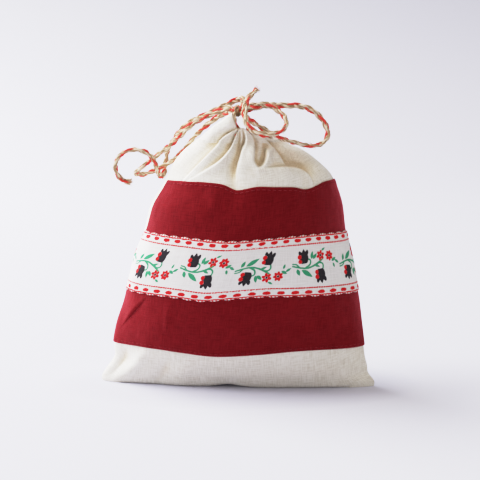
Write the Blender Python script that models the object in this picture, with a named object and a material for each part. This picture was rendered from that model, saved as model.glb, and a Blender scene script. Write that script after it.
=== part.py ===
"""Drawstring gift pouch: a small gathered linen bag, 130 mm wide and 134 mm to the top of its gathered casing.

Two linen panels are seamed at the sides and the bottom.  A cotton band and a woven ribbon are sewn across the front.
The top edge is turned in to make a casing, which gathers round a plaited cord; the cord leaves through a slit in the
front of the casing and is tied in a bow.  Frame: +Z up, the front faces -Y, the width runs along X, and the origin is
at the middle of the base.  Lengths below are in millimetres and are turned to metres when a mesh is made.
"""

import math

import bmesh
import bpy

MM = 0.001

# ---------------------------------------------------------------- driving dimensions (mm)
WALL = 0.8            # linen panel, seam allowances included
GAP = 0.3             # clearance between touching layers
LAY = 0.45            # clearance under a strip sewn on the curved front
SEAM = 0.15           # half the gap between the two panels at a side seam
BAND_T = 0.5          # cotton band
RIBBON_T = 0.4        # woven ribbon
THREAD_R = 0.25       # sewing thread
CORD_R = 1.55         # plaited drawstring, 3.1 mm across
BACK_FULLER = 2.44    # the plain back bulges this much more than the front panel, as far as the front with its trimmings

PANEL_TOP = 118.0     # the panels end here, the casing starts above
CASING_FOOT = 118.3
CASING_WALL = 0.6
CHANNEL = 4.4         # width of the channel that the cord runs in
LINING_FOOT = 119.9
RUN_Z = 122.3         # height of the cord inside the casing
BACK_TOP = 125.5
RIGHT_TOP = 125.0
HOOD_TOP = 134.0
SLIT_LEFT = -0.3      # the slit that the cord leaves through, along X
SLIT_RIGHT = 6.9

BAND_LOW, BAND_HIGH = 18.5, 99.0
RIBBON_LOW, RIBBON_HIGH = 46.5, 74.8

# Loft stations up the pouch: height, half width, centre in X, half depth, roundness of the cross-section
STATIONS = (
    (0.0, 63.5, 0.0, 8.0, 1.6),
    (4.0, 65.3, 0.0, 11.0, 1.6),
    (9.0, 64.2, 0.0, 14.5, 1.55),
    (17.5, 61.3, 0.0, 19.0, 1.5),
    (29.5, 59.0, 0.5, 23.0, 1.4),
    (41.0, 56.3, 1.7, 26.0, 1.35),
    (53.0, 53.7, 2.2, 28.0, 1.3),
    (65.0, 51.0, 2.4, 28.5, 1.25),
    (76.5, 47.7, 3.1, 28.0, 1.2),
    (88.0, 45.4, 3.8, 27.0, 1.15),
    (96.0, 41.8, 5.0, 25.0, 1.12),
    (102.5, 38.8, 5.5, 22.5, 1.08),
    (108.3, 34.5, 4.1, 19.5, 1.05),
    (114.0, 28.3, 2.6, 16.0, 1.0),
    (118.0, 21.4, 0.5, 12.8, 1.0),
    (121.5, 18.0, 0.0, 11.8, 1.0),
    (125.0, 16.0, 0.0, 11.2, 1.0),
    (128.5, 14.4, 0.0, 10.6, 1.0),
    (134.0, 12.5, 0.0, 9.6, 1.0),
)
PANEL_ROWS = (1.6, 4.0, 8.0, 13.0, 19.0, 27.0, 36.0, 46.0, 56.0, 66.0, 76.0, 85.0, 92.0, 98.0, 103.0, 107.5, 111.5, 115.0, 118.0)
COLUMNS = 28

# Where the cord goes once it has left the slit, point by point, to its bow
KNOT = (1.0, -0.5, 132.5)
KNOT_HALF = (3.2, 2.8, 2.4)
LEFT_LOOP = (
    (-0.9, 3.4, 132.7), (-3.2, 8.5, 131.4), (-7.0, 13.5, 130.2), (-12.8, 17.0, 126.5), (-20.5, 17.8, 119.6),
    (-26.5, 17.6, 112.4), (-32.8, 17.0, 106.6), (-39.5, 16.4, 103.0), (-45.0, 14.8, 101.0), (-48.6, 11.2, 101.2),
    (-48.8, 7.4, 102.8), (-46.0, 5.8, 105.3), (-41.5, 6.2, 108.8), (-36.5, 6.2, 112.6), (-31.0, 5.0, 117.0),
    (-26.6, 4.0, 121.4), (-21.5, 3.4, 126.2), (-15.0, 3.0, 129.8), (-9.0, 2.5, 132.2), (-4.2, 1.0, 133.5),
)
LEFT_TAIL = (
    (2.2, 1.7, 135.8), (2.6, 4.6, 137.7), (0.2, 7.3, 137.6), (-4.0, 7.9, 135.6), (-9.5, 7.5, 133.0), (-16.0, 7.3, 130.0),
    (-22.5, 7.6, 126.8), (-27.4, 9.0, 122.8), (-31.4, 13.0, 117.4), (-34.2, 17.6, 112.6), (-35.4, 20.6, 106.6),
    (-36.2, 19.6, 101.2), (-37.4, 15.6, 99.6), (-38.5, 10.2, 101.8), (-39.1, 4.6, 105.4), (-40.4, 0.4, 109.6),
    (-44.2, -1.4, 113.2), (-50.0, -1.0, 114.2), (-55.2, -1.0, 112.2), (-58.2, -1.0, 107.6), (-57.6, -0.4, 102.6),
    (-54.4, 0.8, 99.2), (-51.2, 1.5, 98.4),
)
RIGHT_LOOP = (
    (2.3, -4.7, 131.7), (3.2, -9.2, 131.0), (5.0, -14.8, 129.6), (9.0, -17.4, 127.0), (15.0, -17.5, 123.6),
    (21.0, -16.6, 120.4), (28.0, -15.2, 118.4), (34.0, -13.2, 117.0), (39.4, -11.6, 118.2), (41.9, -10.2, 121.6),
    (41.2, -9.2, 125.8), (38.8, -8.4, 129.6), (34.6, -7.6, 133.2), (29.0, -6.7, 135.2), (22.0, -5.9, 135.4),
    (15.0, -4.9, 135.4), (9.0, -3.4, 134.4), (5.3, -2.0, 133.4),
)
RIGHT_TAIL = (
    (3.4, -5.2, 135.3), (7.6, -8.4, 135.4), (12.6, -9.8, 136.0), (17.4, -11.0, 134.2), (21.2, -13.6, 131.0),
    (22.4, -17.4, 127.6), (20.4, -20.6, 124.8), (16.0, -21.8, 123.2), (11.0, -21.8, 123.2), (6.8, -21.2, 124.8),
    (4.2, -20.2, 127.8), (3.2, -18.4, 131.0), (3.2, -15.0, 134.0), (3.9, -11.4, 137.2), (5.6, -8.8, 140.0), (9.0, -6.6, 143.0),
)
LEFT_LEG = ((1.6, -10.2, 121.6), (1.6, -9.9, 122.8), (1.6, -8.6, 125.0), (1.5, -5.6, 127.4), (1.2, -2.3, 129.3))
RIGHT_LEG = ((5.1, -10.2, 121.6), (5.1, -9.9, 122.8), (5.1, -8.6, 125.0), (5.1, -5.4, 127.4), (4.9, -1.2, 129.8))


# ---------------------------------------------------------------- shape rules
def station(z):
    """The loft's numbers at a height, on a smooth curve through the stations."""
    z = min(max(z, STATIONS[0][0]), STATIONS[-1][0])
    i = max(k for k in range(len(STATIONS) - 1) if STATIONS[k][0] <= z)
    a, b = STATIONS[i], STATIONS[i + 1]
    before, after = STATIONS[max(i - 1, 0)], STATIONS[min(i + 2, len(STATIONS) - 1)]
    h = b[0] - a[0]
    t = (z - a[0]) / h
    out = []
    for c in range(1, 5):
        ma = (b[c] - before[c]) / (b[0] - before[0]) * h
        mb = (after[c] - a[c]) / (after[0] - a[0]) * h
        out.append(
            (2 * t**3 - 3 * t**2 + 1) * a[c] + (t**3 - 2 * t**2 + t) * ma
            + (3 * t**2 - 2 * t**3) * b[c] + (t**3 - t**2) * mb
        )
    return out


def skin(angle, z, off, side):
    """A point off millimetres outside a panel's outer face. The angle runs from -90 (left seam) to 90 degrees (right seam); side is -1 front, 1 back."""
    half, centre, depth, power = station(z)
    if side > 0:
        depth += BACK_FULLER * min(z / 12.0, 1.0) * min(max((116.0 - z) / 28.0, 0.0), 1.0)
    c = max(math.cos(angle), 0.0)
    return (centre + (half + off) * math.sin(angle), side * (SEAM + (depth + WALL + off) * c**power), z)


def smooth(points, steps):
    """Points along a Catmull-Rom curve through the given ones."""
    p = [tuple(2 * a - b for a, b in zip(points[0], points[1]))] + list(points)
    p.append(tuple(2 * a - b for a, b in zip(points[-1], points[-2])))
    out = []
    for i in range(1, len(p) - 2):
        for k in range(steps):
            t = k / steps
            out.append(tuple(
                0.5 * (2 * b + (c - a) * t + (2 * a - 5 * b + 4 * c - d) * t * t + (3 * b - a - 3 * c + d) * t**3)
                for a, b, c, d in zip(p[i - 1], p[i], p[i + 1], p[i + 2])
            ))
    out.append(tuple(points[-1]))
    return out


def spaced(points, step):
    """The same line with its points about one step apart."""
    length = [0.0]
    for a, b in zip(points, points[1:]):
        length.append(length[-1] + math.dist(a, b))
    count = max(3, round(length[-1] / step))
    out, j = [], 0
    for k in range(count + 1):
        want = length[-1] * k / count
        while j < len(points) - 2 and length[j + 1] < want:
            j += 1
        t = (want - length[j]) / (length[j + 1] - length[j])
        out.append(tuple(a + (b - a) * t for a, b in zip(points[j], points[j + 1])))
    return out


# ---------------------------------------------------------------- objects and materials
def material(name, colour, roughness):
    m = bpy.data.materials.get(name)
    if m is None:
        m = bpy.data.materials.new(name)
        m.use_nodes = True
        shader = m.node_tree.nodes["Principled BSDF"]
        shader.inputs["Base Color"].default_value = (*colour, 1.0)
        shader.inputs["Roughness"].default_value = roughness
        shader.inputs["Metallic"].default_value = 0.0
        m.diffuse_color = (*colour, 1.0)
    return m


def finish(name, data, mat, origin):
    """Links an object whose origin is the given point, with its data moved to match."""
    obj = bpy.data.objects.new(name, data)
    bpy.context.scene.collection.objects.link(obj)
    obj.data.materials.append(mat)
    parent = bpy.data.objects.get(origin)
    if parent is not None:
        obj.parent = parent
    return obj


def closed_mesh(name, points, faces, mat, origin):
    """A closed solid from points in millimetres, its origin at the empty it hangs from."""
    base = bpy.data.objects[origin].location
    mesh = bpy.data.meshes.new(name)
    mesh.from_pydata([tuple(v * MM - base[i] for i, v in enumerate(p)) for p in points], [], faces)
    bm = bmesh.new()
    bm.from_mesh(mesh)
    bmesh.ops.recalc_face_normals(bm, faces=bm.faces)
    bm.to_mesh(mesh)
    bm.free()
    mesh.shade_smooth()
    mesh.set_sharp_from_angle(angle=math.radians(50))
    return finish(name, mesh, mat, origin)


def layer(name, outer, inner, mat, origin):
    """A sheet with a thickness: two matching grids of points, joined round their four edges."""
    rows, cols = len(outer), len(outer[0])
    points = [p for row in outer for p in row] + [p for row in inner for p in row]
    n = rows * cols

    def at(i, j):
        return i * cols + j

    faces = []
    for i in range(rows - 1):
        for j in range(cols - 1):
            faces.append((at(i, j), at(i, j + 1), at(i + 1, j + 1), at(i + 1, j)))
            faces.append((n + at(i, j), n + at(i + 1, j), n + at(i + 1, j + 1), n + at(i, j + 1)))
    for i in range(rows - 1):
        for j in (0, cols - 1):
            faces.append((at(i, j), at(i + 1, j), n + at(i + 1, j), n + at(i, j)))
    for j in range(cols - 1):
        for i in (0, rows - 1):
            faces.append((at(i, j), at(i, j + 1), n + at(i, j + 1), n + at(i, j)))
    return closed_mesh(name, points, faces, mat, origin)


def cord(name, points, mat, origin, radius=CORD_R, step=3.4, resolution=2):
    """A round cord along a line of points, with closed ends."""
    base = bpy.data.objects[origin].location
    data = bpy.data.curves.new(name, "CURVE")
    data.dimensions = "3D"
    data.bevel_depth = radius * MM
    data.bevel_resolution = resolution
    data.use_fill_caps = True
    line = spaced(smooth(points, 8), step)
    spline = data.splines.new("POLY")
    spline.points.add(len(line) - 1)
    for q, p in zip(spline.points, line):
        q.co = (*(v * MM - base[i] for i, v in enumerate(p)), 1.0)
    return finish(name, data, mat, origin)


def empty(name, point):
    obj = bpy.data.objects.new(name, None)
    obj.location = tuple(v * MM for v in point)
    bpy.context.scene.collection.objects.link(obj)
    return obj


# ---------------------------------------------------------------- pieces

def across(count, low, high):
    return [math.radians(low + (high - low) * k / count) for k in range(count + 1)]


def panel(name, side, mat):
    """A linen panel: half of the floor from the bottom seam outwards, then the wall up to the casing."""
    angles = across(COLUMNS, -90, 90)
    half, centre, depth, power = station(0.0)
    outer = [[(centre + (half - 2.0) * math.sin(a), side * SEAM, 0.0) for a in angles]]
    inner = [[(centre + (half - 2.0 - WALL) * math.sin(a), side * SEAM, WALL) for a in angles]]
    outer.append([skin(a, 0.0, 0.0, side) for a in angles])
    inner.append([(x, y, WALL) for x, y, _ in (skin(a, 0.0, -WALL, side) for a in angles)])
    for z in PANEL_ROWS:
        outer.append([skin(a, z, 0.0, side) for a in angles])
        inner.append([skin(a, z, -WALL, side) for a in angles])
    return layer(name, outer, inner, mat, "pouch")


def strip(name, low, high, rows, near, thick, left, right, mat):
    """A strip of cloth sewn across the front panel, near millimetres off it."""
    outer, inner = [], []
    for i in range(rows + 1):
        line_out, line_in = [], []
        for a in across(COLUMNS, -90, 90):
            z = low(a) + (high(a) - low(a)) * i / rows
            stop = math.radians(left(z)), math.radians(right)
            b = min(max(a, stop[0]), stop[1])
            if b != a:
                edge = stop[0] if a < stop[0] else stop[1]
                share = (a - edge) / math.radians(90)
                b = edge + share * 0.06
            line_out.append(skin(b, z, near + thick, -1))
            line_in.append(skin(b, z, near, -1))
        outer.append(line_out)
        inner.append(line_in)
    return layer(name, outer, inner, mat, "pouch")


def left_edge(z):
    """The band's left end follows the side seam, which is drawn forward in the upper half."""
    t = min(max((z - 42.0) / 45.0, 0.0), 1.0)
    return -87.0 + 17.0 * t * t * (3 - 2 * t)


def lip(name, side, start, stop, top, columns, mat, origin):
    """A stretch of casing: the cloth rises, folds over, and comes down inside, leaving a channel for the cord. start and stop give the angle at a height and offset."""
    levels = (0.0, 0.25, 0.5, 0.75)
    points, rings = [], columns + 1
    count = 0
    for k in range(rings):
        u = k / columns
        peak = top(u)
        profile = [(0.0, CASING_FOOT + (peak - 1.2 - CASING_FOOT) * v / 0.75) for v in levels]
        profile += [(-CASING_WALL, peak), (-CASING_WALL - CHANNEL, peak)]
        deep = -2 * CASING_WALL - CHANNEL
        profile += [(deep, LINING_FOOT + (peak - 1.2 - LINING_FOOT) * v / 0.75) for v in reversed(levels)]
        profile += [(deep + CASING_WALL, LINING_FOOT + (peak - 1.8 - LINING_FOOT) * v / 0.75) for v in levels]
        profile += [(deep + CASING_WALL + 0.5, peak - 0.8), (-CASING_WALL - 0.5, peak - 0.8)]
        profile += [(-CASING_WALL, CASING_FOOT + (peak - 1.8 - CASING_FOOT) * v / 0.75) for v in reversed(levels)]
        count = len(profile)
        for off, z in profile:
            a, b = start(z, off), stop(z, off)
            points.append(skin(a + (b - a) * u, z, off, side))
    faces = []
    for k in range(rings - 1):
        for i in range(count):
            j = (i + 1) % count
            faces.append((k * count + i, k * count + j, (k + 1) * count + j, (k + 1) * count + i))
    faces.append(tuple(range(count)))
    faces.append(tuple((rings - 1) * count + i for i in range(count)))
    return closed_mesh(name, points, faces, mat, origin)


def at_x(x):
    """The angle at which a skin passes a given X, by height and offset."""
    def angle(z, off):
        half, centre, _, _ = station(z)
        return math.asin(min(max((x - centre) / (half + off), -1.0), 1.0))
    return angle


def fixed(degrees):
    return lambda z, off: math.radians(degrees)


def main():
    for obj in list(bpy.data.objects):
        bpy.data.objects.remove(obj, do_unlink=True)

    linen = material("linen", (0.80, 0.78, 0.72), 0.9)
    cotton = material("red_cotton", (0.33, 0.015, 0.03), 0.85)
    ribbon = material("woven_ribbon", (0.78, 0.76, 0.74), 0.7)
    red_thread = material("red_thread", (0.55, 0.03, 0.05), 0.6)
    cream_thread = material("cream_thread", (0.78, 0.74, 0.66), 0.7)
    jute = material("jute_cord", (0.55, 0.38, 0.22), 0.9)

    empty("pouch", (0, 0, 0))
    empty("front_lip_slide", (0, -10, CASING_FOOT))
    empty("back_lip_slide", (0, 10, CASING_FOOT))
    empty("bow_slide", KNOT)

    panel("front_panel", -1, linen)
    panel("back_panel", 1, linen)

    def band_low(a):
        return BAND_LOW + 1.5 * math.sin(a) ** 2

    def band_high(a):
        return BAND_HIGH + 1.0 * math.sin(a) ** 2

    def ribbon_low(a):
        return RIBBON_LOW - 0.7 * math.sin(a) ** 2

    def ribbon_high(a):
        return RIBBON_HIGH + 0.7 * math.sin(a) ** 2

    strip("red_band", band_low, band_high, 9, LAY, BAND_T, left_edge, 87.0, cotton)
    over = LAY + BAND_T + LAY
    strip("floral_ribbon", ribbon_low, ribbon_high, 4, over, RIBBON_T, left_edge, 87.0, ribbon)

    def seam_line(rule, shift, off, low=-66.0, high=84.0):
        line = []
        for a in across(30, low, high):
            z = rule(a) + shift
            line.append(skin(max(a, math.radians(left_edge(z) + 3.0)), z, off, -1))
        kept = [line[0]]
        for p in line[1:]:
            if math.dist(p, kept[-1]) > 1.0:
                kept.append(p)
        return kept

    above_band = LAY + BAND_T + LAY + THREAD_R
    above_ribbon = over + RIBBON_T + LAY + THREAD_R
    cord("band_top_stitch", seam_line(band_high, -1.8, above_band), red_thread, "pouch", THREAD_R, 4.5, 1)
    cord("band_bottom_stitch", seam_line(band_low, 1.8, above_band, -84.0), red_thread, "pouch", THREAD_R, 4.5, 1)
    cord("ribbon_top_stitch", seam_line(ribbon_high, -1.2, above_ribbon, -80.0), cream_thread, "pouch", THREAD_R, 4.5, 1)
    cord("ribbon_bottom_stitch", seam_line(ribbon_low, 1.2, above_ribbon, -84.0), cream_thread, "pouch", THREAD_R, 4.5, 1)

    def side_thread(sign):
        line = []
        for z in (3, 9, 16, 26, 38, 50, 62, 74, 86, 96, 104, 110, 115):
            half, centre, _, _ = station(z)
            line.append((centre + sign * (half - WALL - 1.5), 0.0, float(z)))
        return line

    cord("left_seam_stitch", side_thread(-1), cream_thread, "pouch", THREAD_R, 5.0, 1)
    cord("right_seam_stitch", side_thread(1), cream_thread, "pouch", THREAD_R, 5.0, 1)
    cord("bottom_seam_stitch", [(x, 0.0, WALL + GAP + THREAD_R + 0.1) for x in range(-55, 56, 10)], cream_thread, "pouch", THREAD_R, 6.0, 1)

    def hood_top(u):
        s = min(max((u - 0.05) / 0.8, 0.0), 1.0)
        return BACK_TOP + (HOOD_TOP - BACK_TOP) * s * s * (3 - 2 * s)

    lip("front_casing_left", -1, fixed(-90), at_x(SLIT_LEFT), hood_top, 8, linen, "front_lip_slide")
    lip("front_casing_right", -1, at_x(SLIT_RIGHT), fixed(90), lambda u: RIGHT_TOP, 5, linen, "front_lip_slide")
    lip("back_casing", 1, fixed(-90), fixed(90), lambda u: BACK_TOP, 14, linen, "back_lip_slide")

    mid = -CASING_WALL - CHANNEL / 2
    cut_left, cut_right = at_x(SLIT_LEFT - 0.5), at_x(SLIT_RIGHT + 0.5)
    seam = math.radians(87)

    def run(side, a, b):
        return [skin(a + (b - a) * k / 14, RUN_Z, mid, side) for k in range(15)]

    cord("drawstring_front_left_run", run(-1, -seam, cut_left(RUN_Z, mid)), jute, "front_lip_slide", step=2.4)
    cord("drawstring_front_right_run", run(-1, cut_right(RUN_Z, mid), seam), jute, "front_lip_slide", step=2.4)
    cord("drawstring_back_run", run(1, -seam, seam), jute, "back_lip_slide", step=2.4)

    line = CASING_FOOT + 1.0
    trim = 2 * GAP + THREAD_R
    cord("front_casing_left_stitch", [skin(math.radians(a), line, trim, -1) for a in range(-84, -3, 8)], cream_thread, "front_lip_slide", THREAD_R, 4.0, 1)
    cord("front_casing_right_stitch", [skin(math.radians(a), line, trim, -1) for a in range(28, 85, 8)], cream_thread, "front_lip_slide", THREAD_R, 4.0, 1)
    cord("back_casing_stitch", [skin(math.radians(a), line, trim, 1) for a in range(-84, 85, 8)], cream_thread, "back_lip_slide", THREAD_R, 4.0, 1)

    cord("left_cord_leg", LEFT_LEG, jute, "bow_slide", step=1.8)
    cord("right_cord_leg", RIGHT_LEG, jute, "bow_slide", step=1.8)

    bm = bmesh.new()
    bmesh.ops.create_uvsphere(bm, u_segments=14, v_segments=9, radius=1.0)
    bmesh.ops.scale(bm, vec=tuple(v * MM for v in KNOT_HALF), verts=bm.verts)
    mesh = bpy.data.meshes.new("bow_knot")
    bm.to_mesh(mesh)
    bm.free()
    mesh.shade_smooth()
    finish("bow_knot", mesh, jute, "bow_slide")
    cord("left_bow_loop", LEFT_LOOP, jute, "bow_slide")
    cord("right_bow_loop", RIGHT_LOOP, jute, "bow_slide")
    cord("left_tail", LEFT_TAIL, jute, "bow_slide")
    cord("right_tail", RIGHT_TAIL, jute, "bow_slide")


main()
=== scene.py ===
"""Looks for the drawstring gift pouch: gathered linen, a red cotton band, a woven floral ribbon and a plaited jute bow.

Lengths in the making functions are in millimetres, as in the CAD; they are turned to metres when a mesh is made.
"""

import math

import bmesh
import bpy
import numpy as np
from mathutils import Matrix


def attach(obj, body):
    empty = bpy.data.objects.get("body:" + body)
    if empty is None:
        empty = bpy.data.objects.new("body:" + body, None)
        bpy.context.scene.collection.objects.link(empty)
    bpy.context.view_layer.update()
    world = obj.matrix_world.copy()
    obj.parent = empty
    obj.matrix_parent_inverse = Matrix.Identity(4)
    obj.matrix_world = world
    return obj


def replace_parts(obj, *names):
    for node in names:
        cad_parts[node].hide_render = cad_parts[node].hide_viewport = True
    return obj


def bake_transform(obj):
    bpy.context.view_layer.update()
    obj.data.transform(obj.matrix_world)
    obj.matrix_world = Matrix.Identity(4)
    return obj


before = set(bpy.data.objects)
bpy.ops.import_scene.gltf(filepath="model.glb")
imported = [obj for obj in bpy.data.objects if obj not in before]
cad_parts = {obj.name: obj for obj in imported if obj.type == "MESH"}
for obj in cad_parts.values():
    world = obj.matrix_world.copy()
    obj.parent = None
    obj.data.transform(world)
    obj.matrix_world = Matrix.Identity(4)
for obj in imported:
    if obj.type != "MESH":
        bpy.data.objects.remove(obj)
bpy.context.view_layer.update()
MM = 0.001
scene = bpy.context.scene

# ================================================================ camera
camera = bpy.data.objects.new("camera", bpy.data.cameras.new("camera"))
scene.collection.objects.link(camera)
ELEVATION = math.radians(9.0)
TARGET = (0.00096, 0.0, 0.07065)
DISTANCE = 0.650
camera.location = (TARGET[0], -DISTANCE * math.cos(ELEVATION), TARGET[2] + DISTANCE * math.sin(ELEVATION))
camera.rotation_euler = (math.pi / 2 - ELEVATION, 0.0, 0.0)
camera.data.sensor_width = 36.0
camera.data.lens = 101.56
camera.data.clip_start = 0.01
scene.camera = camera

# ================================================================ the pouch's law of shape, the same as the CAD's (mm)
SEAM, WALL = 0.15, 0.8
BACK_FULLER = 2.44
STATIONS = np.array((
    (0.0, 63.5, 0.0, 8.0, 1.6), (4.0, 65.3, 0.0, 11.0, 1.6), (9.0, 64.2, 0.0, 14.5, 1.55), (17.5, 61.3, 0.0, 19.0, 1.5),
    (29.5, 59.0, 0.5, 23.0, 1.4), (41.0, 56.3, 1.7, 26.0, 1.35), (53.0, 53.7, 2.2, 28.0, 1.3), (65.0, 51.0, 2.4, 28.5, 1.25),
    (76.5, 47.7, 3.1, 28.0, 1.2), (88.0, 45.4, 3.8, 27.0, 1.15), (96.0, 41.8, 5.0, 25.0, 1.12), (102.5, 38.8, 5.5, 22.5, 1.08),
    (108.3, 34.5, 4.1, 19.5, 1.05), (114.0, 28.3, 2.6, 16.0, 1.0), (118.0, 21.4, 0.5, 12.8, 1.0), (121.5, 18.0, 0.0, 11.8, 1.0),
    (125.0, 16.0, 0.0, 11.2, 1.0), (128.5, 14.4, 0.0, 10.6, 1.0), (134.0, 12.5, 0.0, 9.6, 1.0),
))


def _table():
    """The stations on a smooth curve, every 0.1 mm of height."""
    zs = np.arange(0.0, 134.05, 0.1)
    z0 = STATIONS[:, 0]
    out = np.zeros((len(zs), 4))
    for n, z in enumerate(zs):
        i = min(max(int(np.searchsorted(z0, z, side="right")) - 1, 0), len(z0) - 2)
        a, b = STATIONS[i], STATIONS[i + 1]
        p, q = STATIONS[max(i - 1, 0)], STATIONS[min(i + 2, len(z0) - 1)]
        h = b[0] - a[0]
        t = (z - a[0]) / h
        ma = (b[1:] - p[1:]) / (b[0] - p[0]) * h
        mb = (q[1:] - a[1:]) / (q[0] - a[0]) * h
        out[n] = (2 * t**3 - 3 * t**2 + 1) * a[1:] + (t**3 - 2 * t**2 + t) * ma + (3 * t**2 - 2 * t**3) * b[1:] + (t**3 - t**2) * mb
    return zs, out


TABLE_Z, TABLE = _table()


def station(z):
    z = np.clip(z, 0.0, 134.0)
    return tuple(np.interp(z, TABLE_Z, TABLE[:, c]) for c in range(4))


def smoothstep(t):
    t = np.clip(t, 0.0, 1.0)
    return t * t * (3.0 - 2.0 * t)


def through(x, xs, ys):
    """A smooth curve through some points."""
    xs, ys = np.array(xs, float), np.array(ys, float)
    m = np.gradient(ys, xs)
    x = np.clip(x, xs[0], xs[-1])
    i = np.clip(np.searchsorted(xs, x, side="right") - 1, 0, len(xs) - 2)
    h = xs[i + 1] - xs[i]
    t = (x - xs[i]) / h
    return ((2 * t**3 - 3 * t**2 + 1) * ys[i] + (t**3 - 2 * t**2 + t) * h * m[i]
            + (3 * t**2 - 2 * t**3) * ys[i + 1] + (t**3 - t**2) * h * m[i + 1])


def hashed(ix, iy, seed):
    """A repeatable number from 0 to 1 for each whole grid point."""
    n = (ix.astype(np.int64) * 374761393 + iy.astype(np.int64) * 668265263 + seed * 1442695041) & 0xFFFFFFFF
    n = ((n ^ (n >> 13)) * 1274126177) & 0xFFFFFFFF
    return ((n ^ (n >> 16)) & 0xFFFFFFFF) / 4294967295.0


def noise(x, y, seed=0):
    """Smooth noise from -1 to 1."""
    x, y = np.asarray(x, float), np.asarray(y, float)
    ix, iy = np.floor(x), np.floor(y)
    fx, fy = x - ix, y - iy
    fx, fy = fx**3 * (fx * (fx * 6 - 15) + 10), fy**3 * (fy * (fy * 6 - 15) + 10)
    a, b = hashed(ix, iy, seed), hashed(ix + 1, iy, seed)
    c, d = hashed(ix, iy + 1, seed), hashed(ix + 1, iy + 1, seed)
    return 2.0 * (a + (b - a) * fx + (c - a) * fy + (a - b - c + d) * fx * fy) - 1.0


def catmull(points, steps=8):
    p = np.array(points, float)
    p = np.vstack([2 * p[0] - p[1], p, 2 * p[-1] - p[-2]])
    out = []
    for i in range(1, len(p) - 2):
        for t in np.arange(steps) / steps:
            out.append(0.5 * (2 * p[i] + (p[i + 1] - p[i - 1]) * t + (2 * p[i - 1] - 5 * p[i] + 4 * p[i + 1] - p[i + 2]) * t**2
                              + (3 * p[i] - p[i - 1] - 3 * p[i + 1] + p[i + 2]) * t**3))
    out.append(p[-2])
    return np.array(out)


# ---------------------------------------------------------------- folds
# Each fold is a line over the front seen square on: (x, z, height, width to its left, width to its right). Left and right are
# as seen when going along the line from its first point. A fold's height is how far it stands out of the smooth shape.
FRONT_FOLDS = [
    # the hood's own fullness, and where it sinks away to its first fold
    [(-1.5, 131.0, 0.4, 3.0, 2.0), (-4.5, 126.5, 1.0, 4.0, 2.5), (-11.0, 121.0, 1.3, 5.0, 4.0), (-19.0, 114.0, 1.0, 6.0, 5.0), (-28.0, 106.0, 0.3, 7.0, 6.0)],
    [(-3.6, 123.4, -0.8, 1.6, 2.0), (-11.6, 118.2, -1.9, 2.6, 3.2), (-17.7, 113.6, -2.3, 3.6, 4.2), (-23.8, 108.0, -1.6, 4.4, 5.0), (-28.1, 103.2, -0.3, 5.0, 5.0)],
    # the round fold beside the pocket
    [(4.4, 123.0, 0.6, 1.2, 1.4), (5.6, 118.5, 1.4, 2.0, 2.0), (5.8, 114.0, 1.6, 2.6, 2.4), (4.6, 110.0, 1.0, 3.0, 3.0)],
    # the valley that runs down to the dip in the band's edge
    [(1.2, 116.7, -0.9, 1.4, 1.4), (-0.6, 111.9, -1.6, 2.0, 2.0), (-2.2, 107.5, -1.7, 2.6, 2.4), (-2.6, 102.0, -1.2, 3.4, 3.0), (-1.6, 96.0, -0.9, 4.0, 4.0), (-1.0, 86.0, 0.0, 5.0, 5.0)],
    # right flank: a wide hollow between the neck and the belly
    [(14.5, 119.3, -0.6, 2.0, 2.0), (19.6, 114.6, -2.2, 3.0, 3.0), (26.0, 110.5, -3.0, 3.6, 3.6), (32.0, 106.4, -2.6, 3.6, 4.0), (37.0, 103.5, -0.6, 4.0, 4.0)],
    # dips in the band's top edge
    [(31.6, 101.0, -0.5, 3.0, 3.0), (32.0, 95.0, -0.9, 3.6, 3.6), (32.5, 84.0, 0.0, 5.0, 5.0)],
    # soft ridges and a hollow in the lower left corner, and creases in the lower band
    [(-57.0, 2.0, 0.4, 3.0, 3.0), (-52.0, 7.5, 1.5, 3.2, 3.4), (-47.0, 13.5, 1.6, 3.2, 3.6), (-42.0, 19.5, 0.4, 3.0, 3.0)],
    [(-60.0, 6.0, -0.8, 2.6, 2.6), (-57.5, 12.0, -1.7, 2.8, 2.8), (-54.0, 18.0, -0.6, 3.0, 3.0)],
    [(-38.0, 3.0, -0.9, 3.4, 3.4), (-34.0, 9.0, -1.0, 4.0, 4.0), (-30.0, 17.0, 0.0, 4.0, 4.0)],
    [(-26.0, 2.0, 0.5, 4.0, 4.0), (-24.0, 10.0, 0.7, 5.0, 5.0), (-22.0, 18.0, 0.0, 5.0, 5.0)],
    [(-33.2, 28.0, 0.0, 1.4, 1.4), (-32.8, 35.0, 0.32, 1.4, 1.8), (-32.2, 43.0, 0.1, 1.4, 1.4)],
    [(-10.0, 86.0, 0.0, 2.2, 2.2), (-11.0, 93.0, 0.45, 2.4, 2.6), (-11.5, 100.0, 0.2, 2.6, 2.6)],
    [(24.0, 24.0, 0.0, 3.0, 3.0), (34.0, 30.0, 0.4, 3.4, 3.4), (44.0, 33.0, 0.0, 3.4, 3.4)],
    # fullness over the middle of the band
    [(16.0, 103.5, 0.6, 5.0, 5.0), (22.0, 100.0, 0.8, 5.0, 6.0), (24.0, 92.0, 0.0, 6.0, 6.0)],
]

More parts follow.
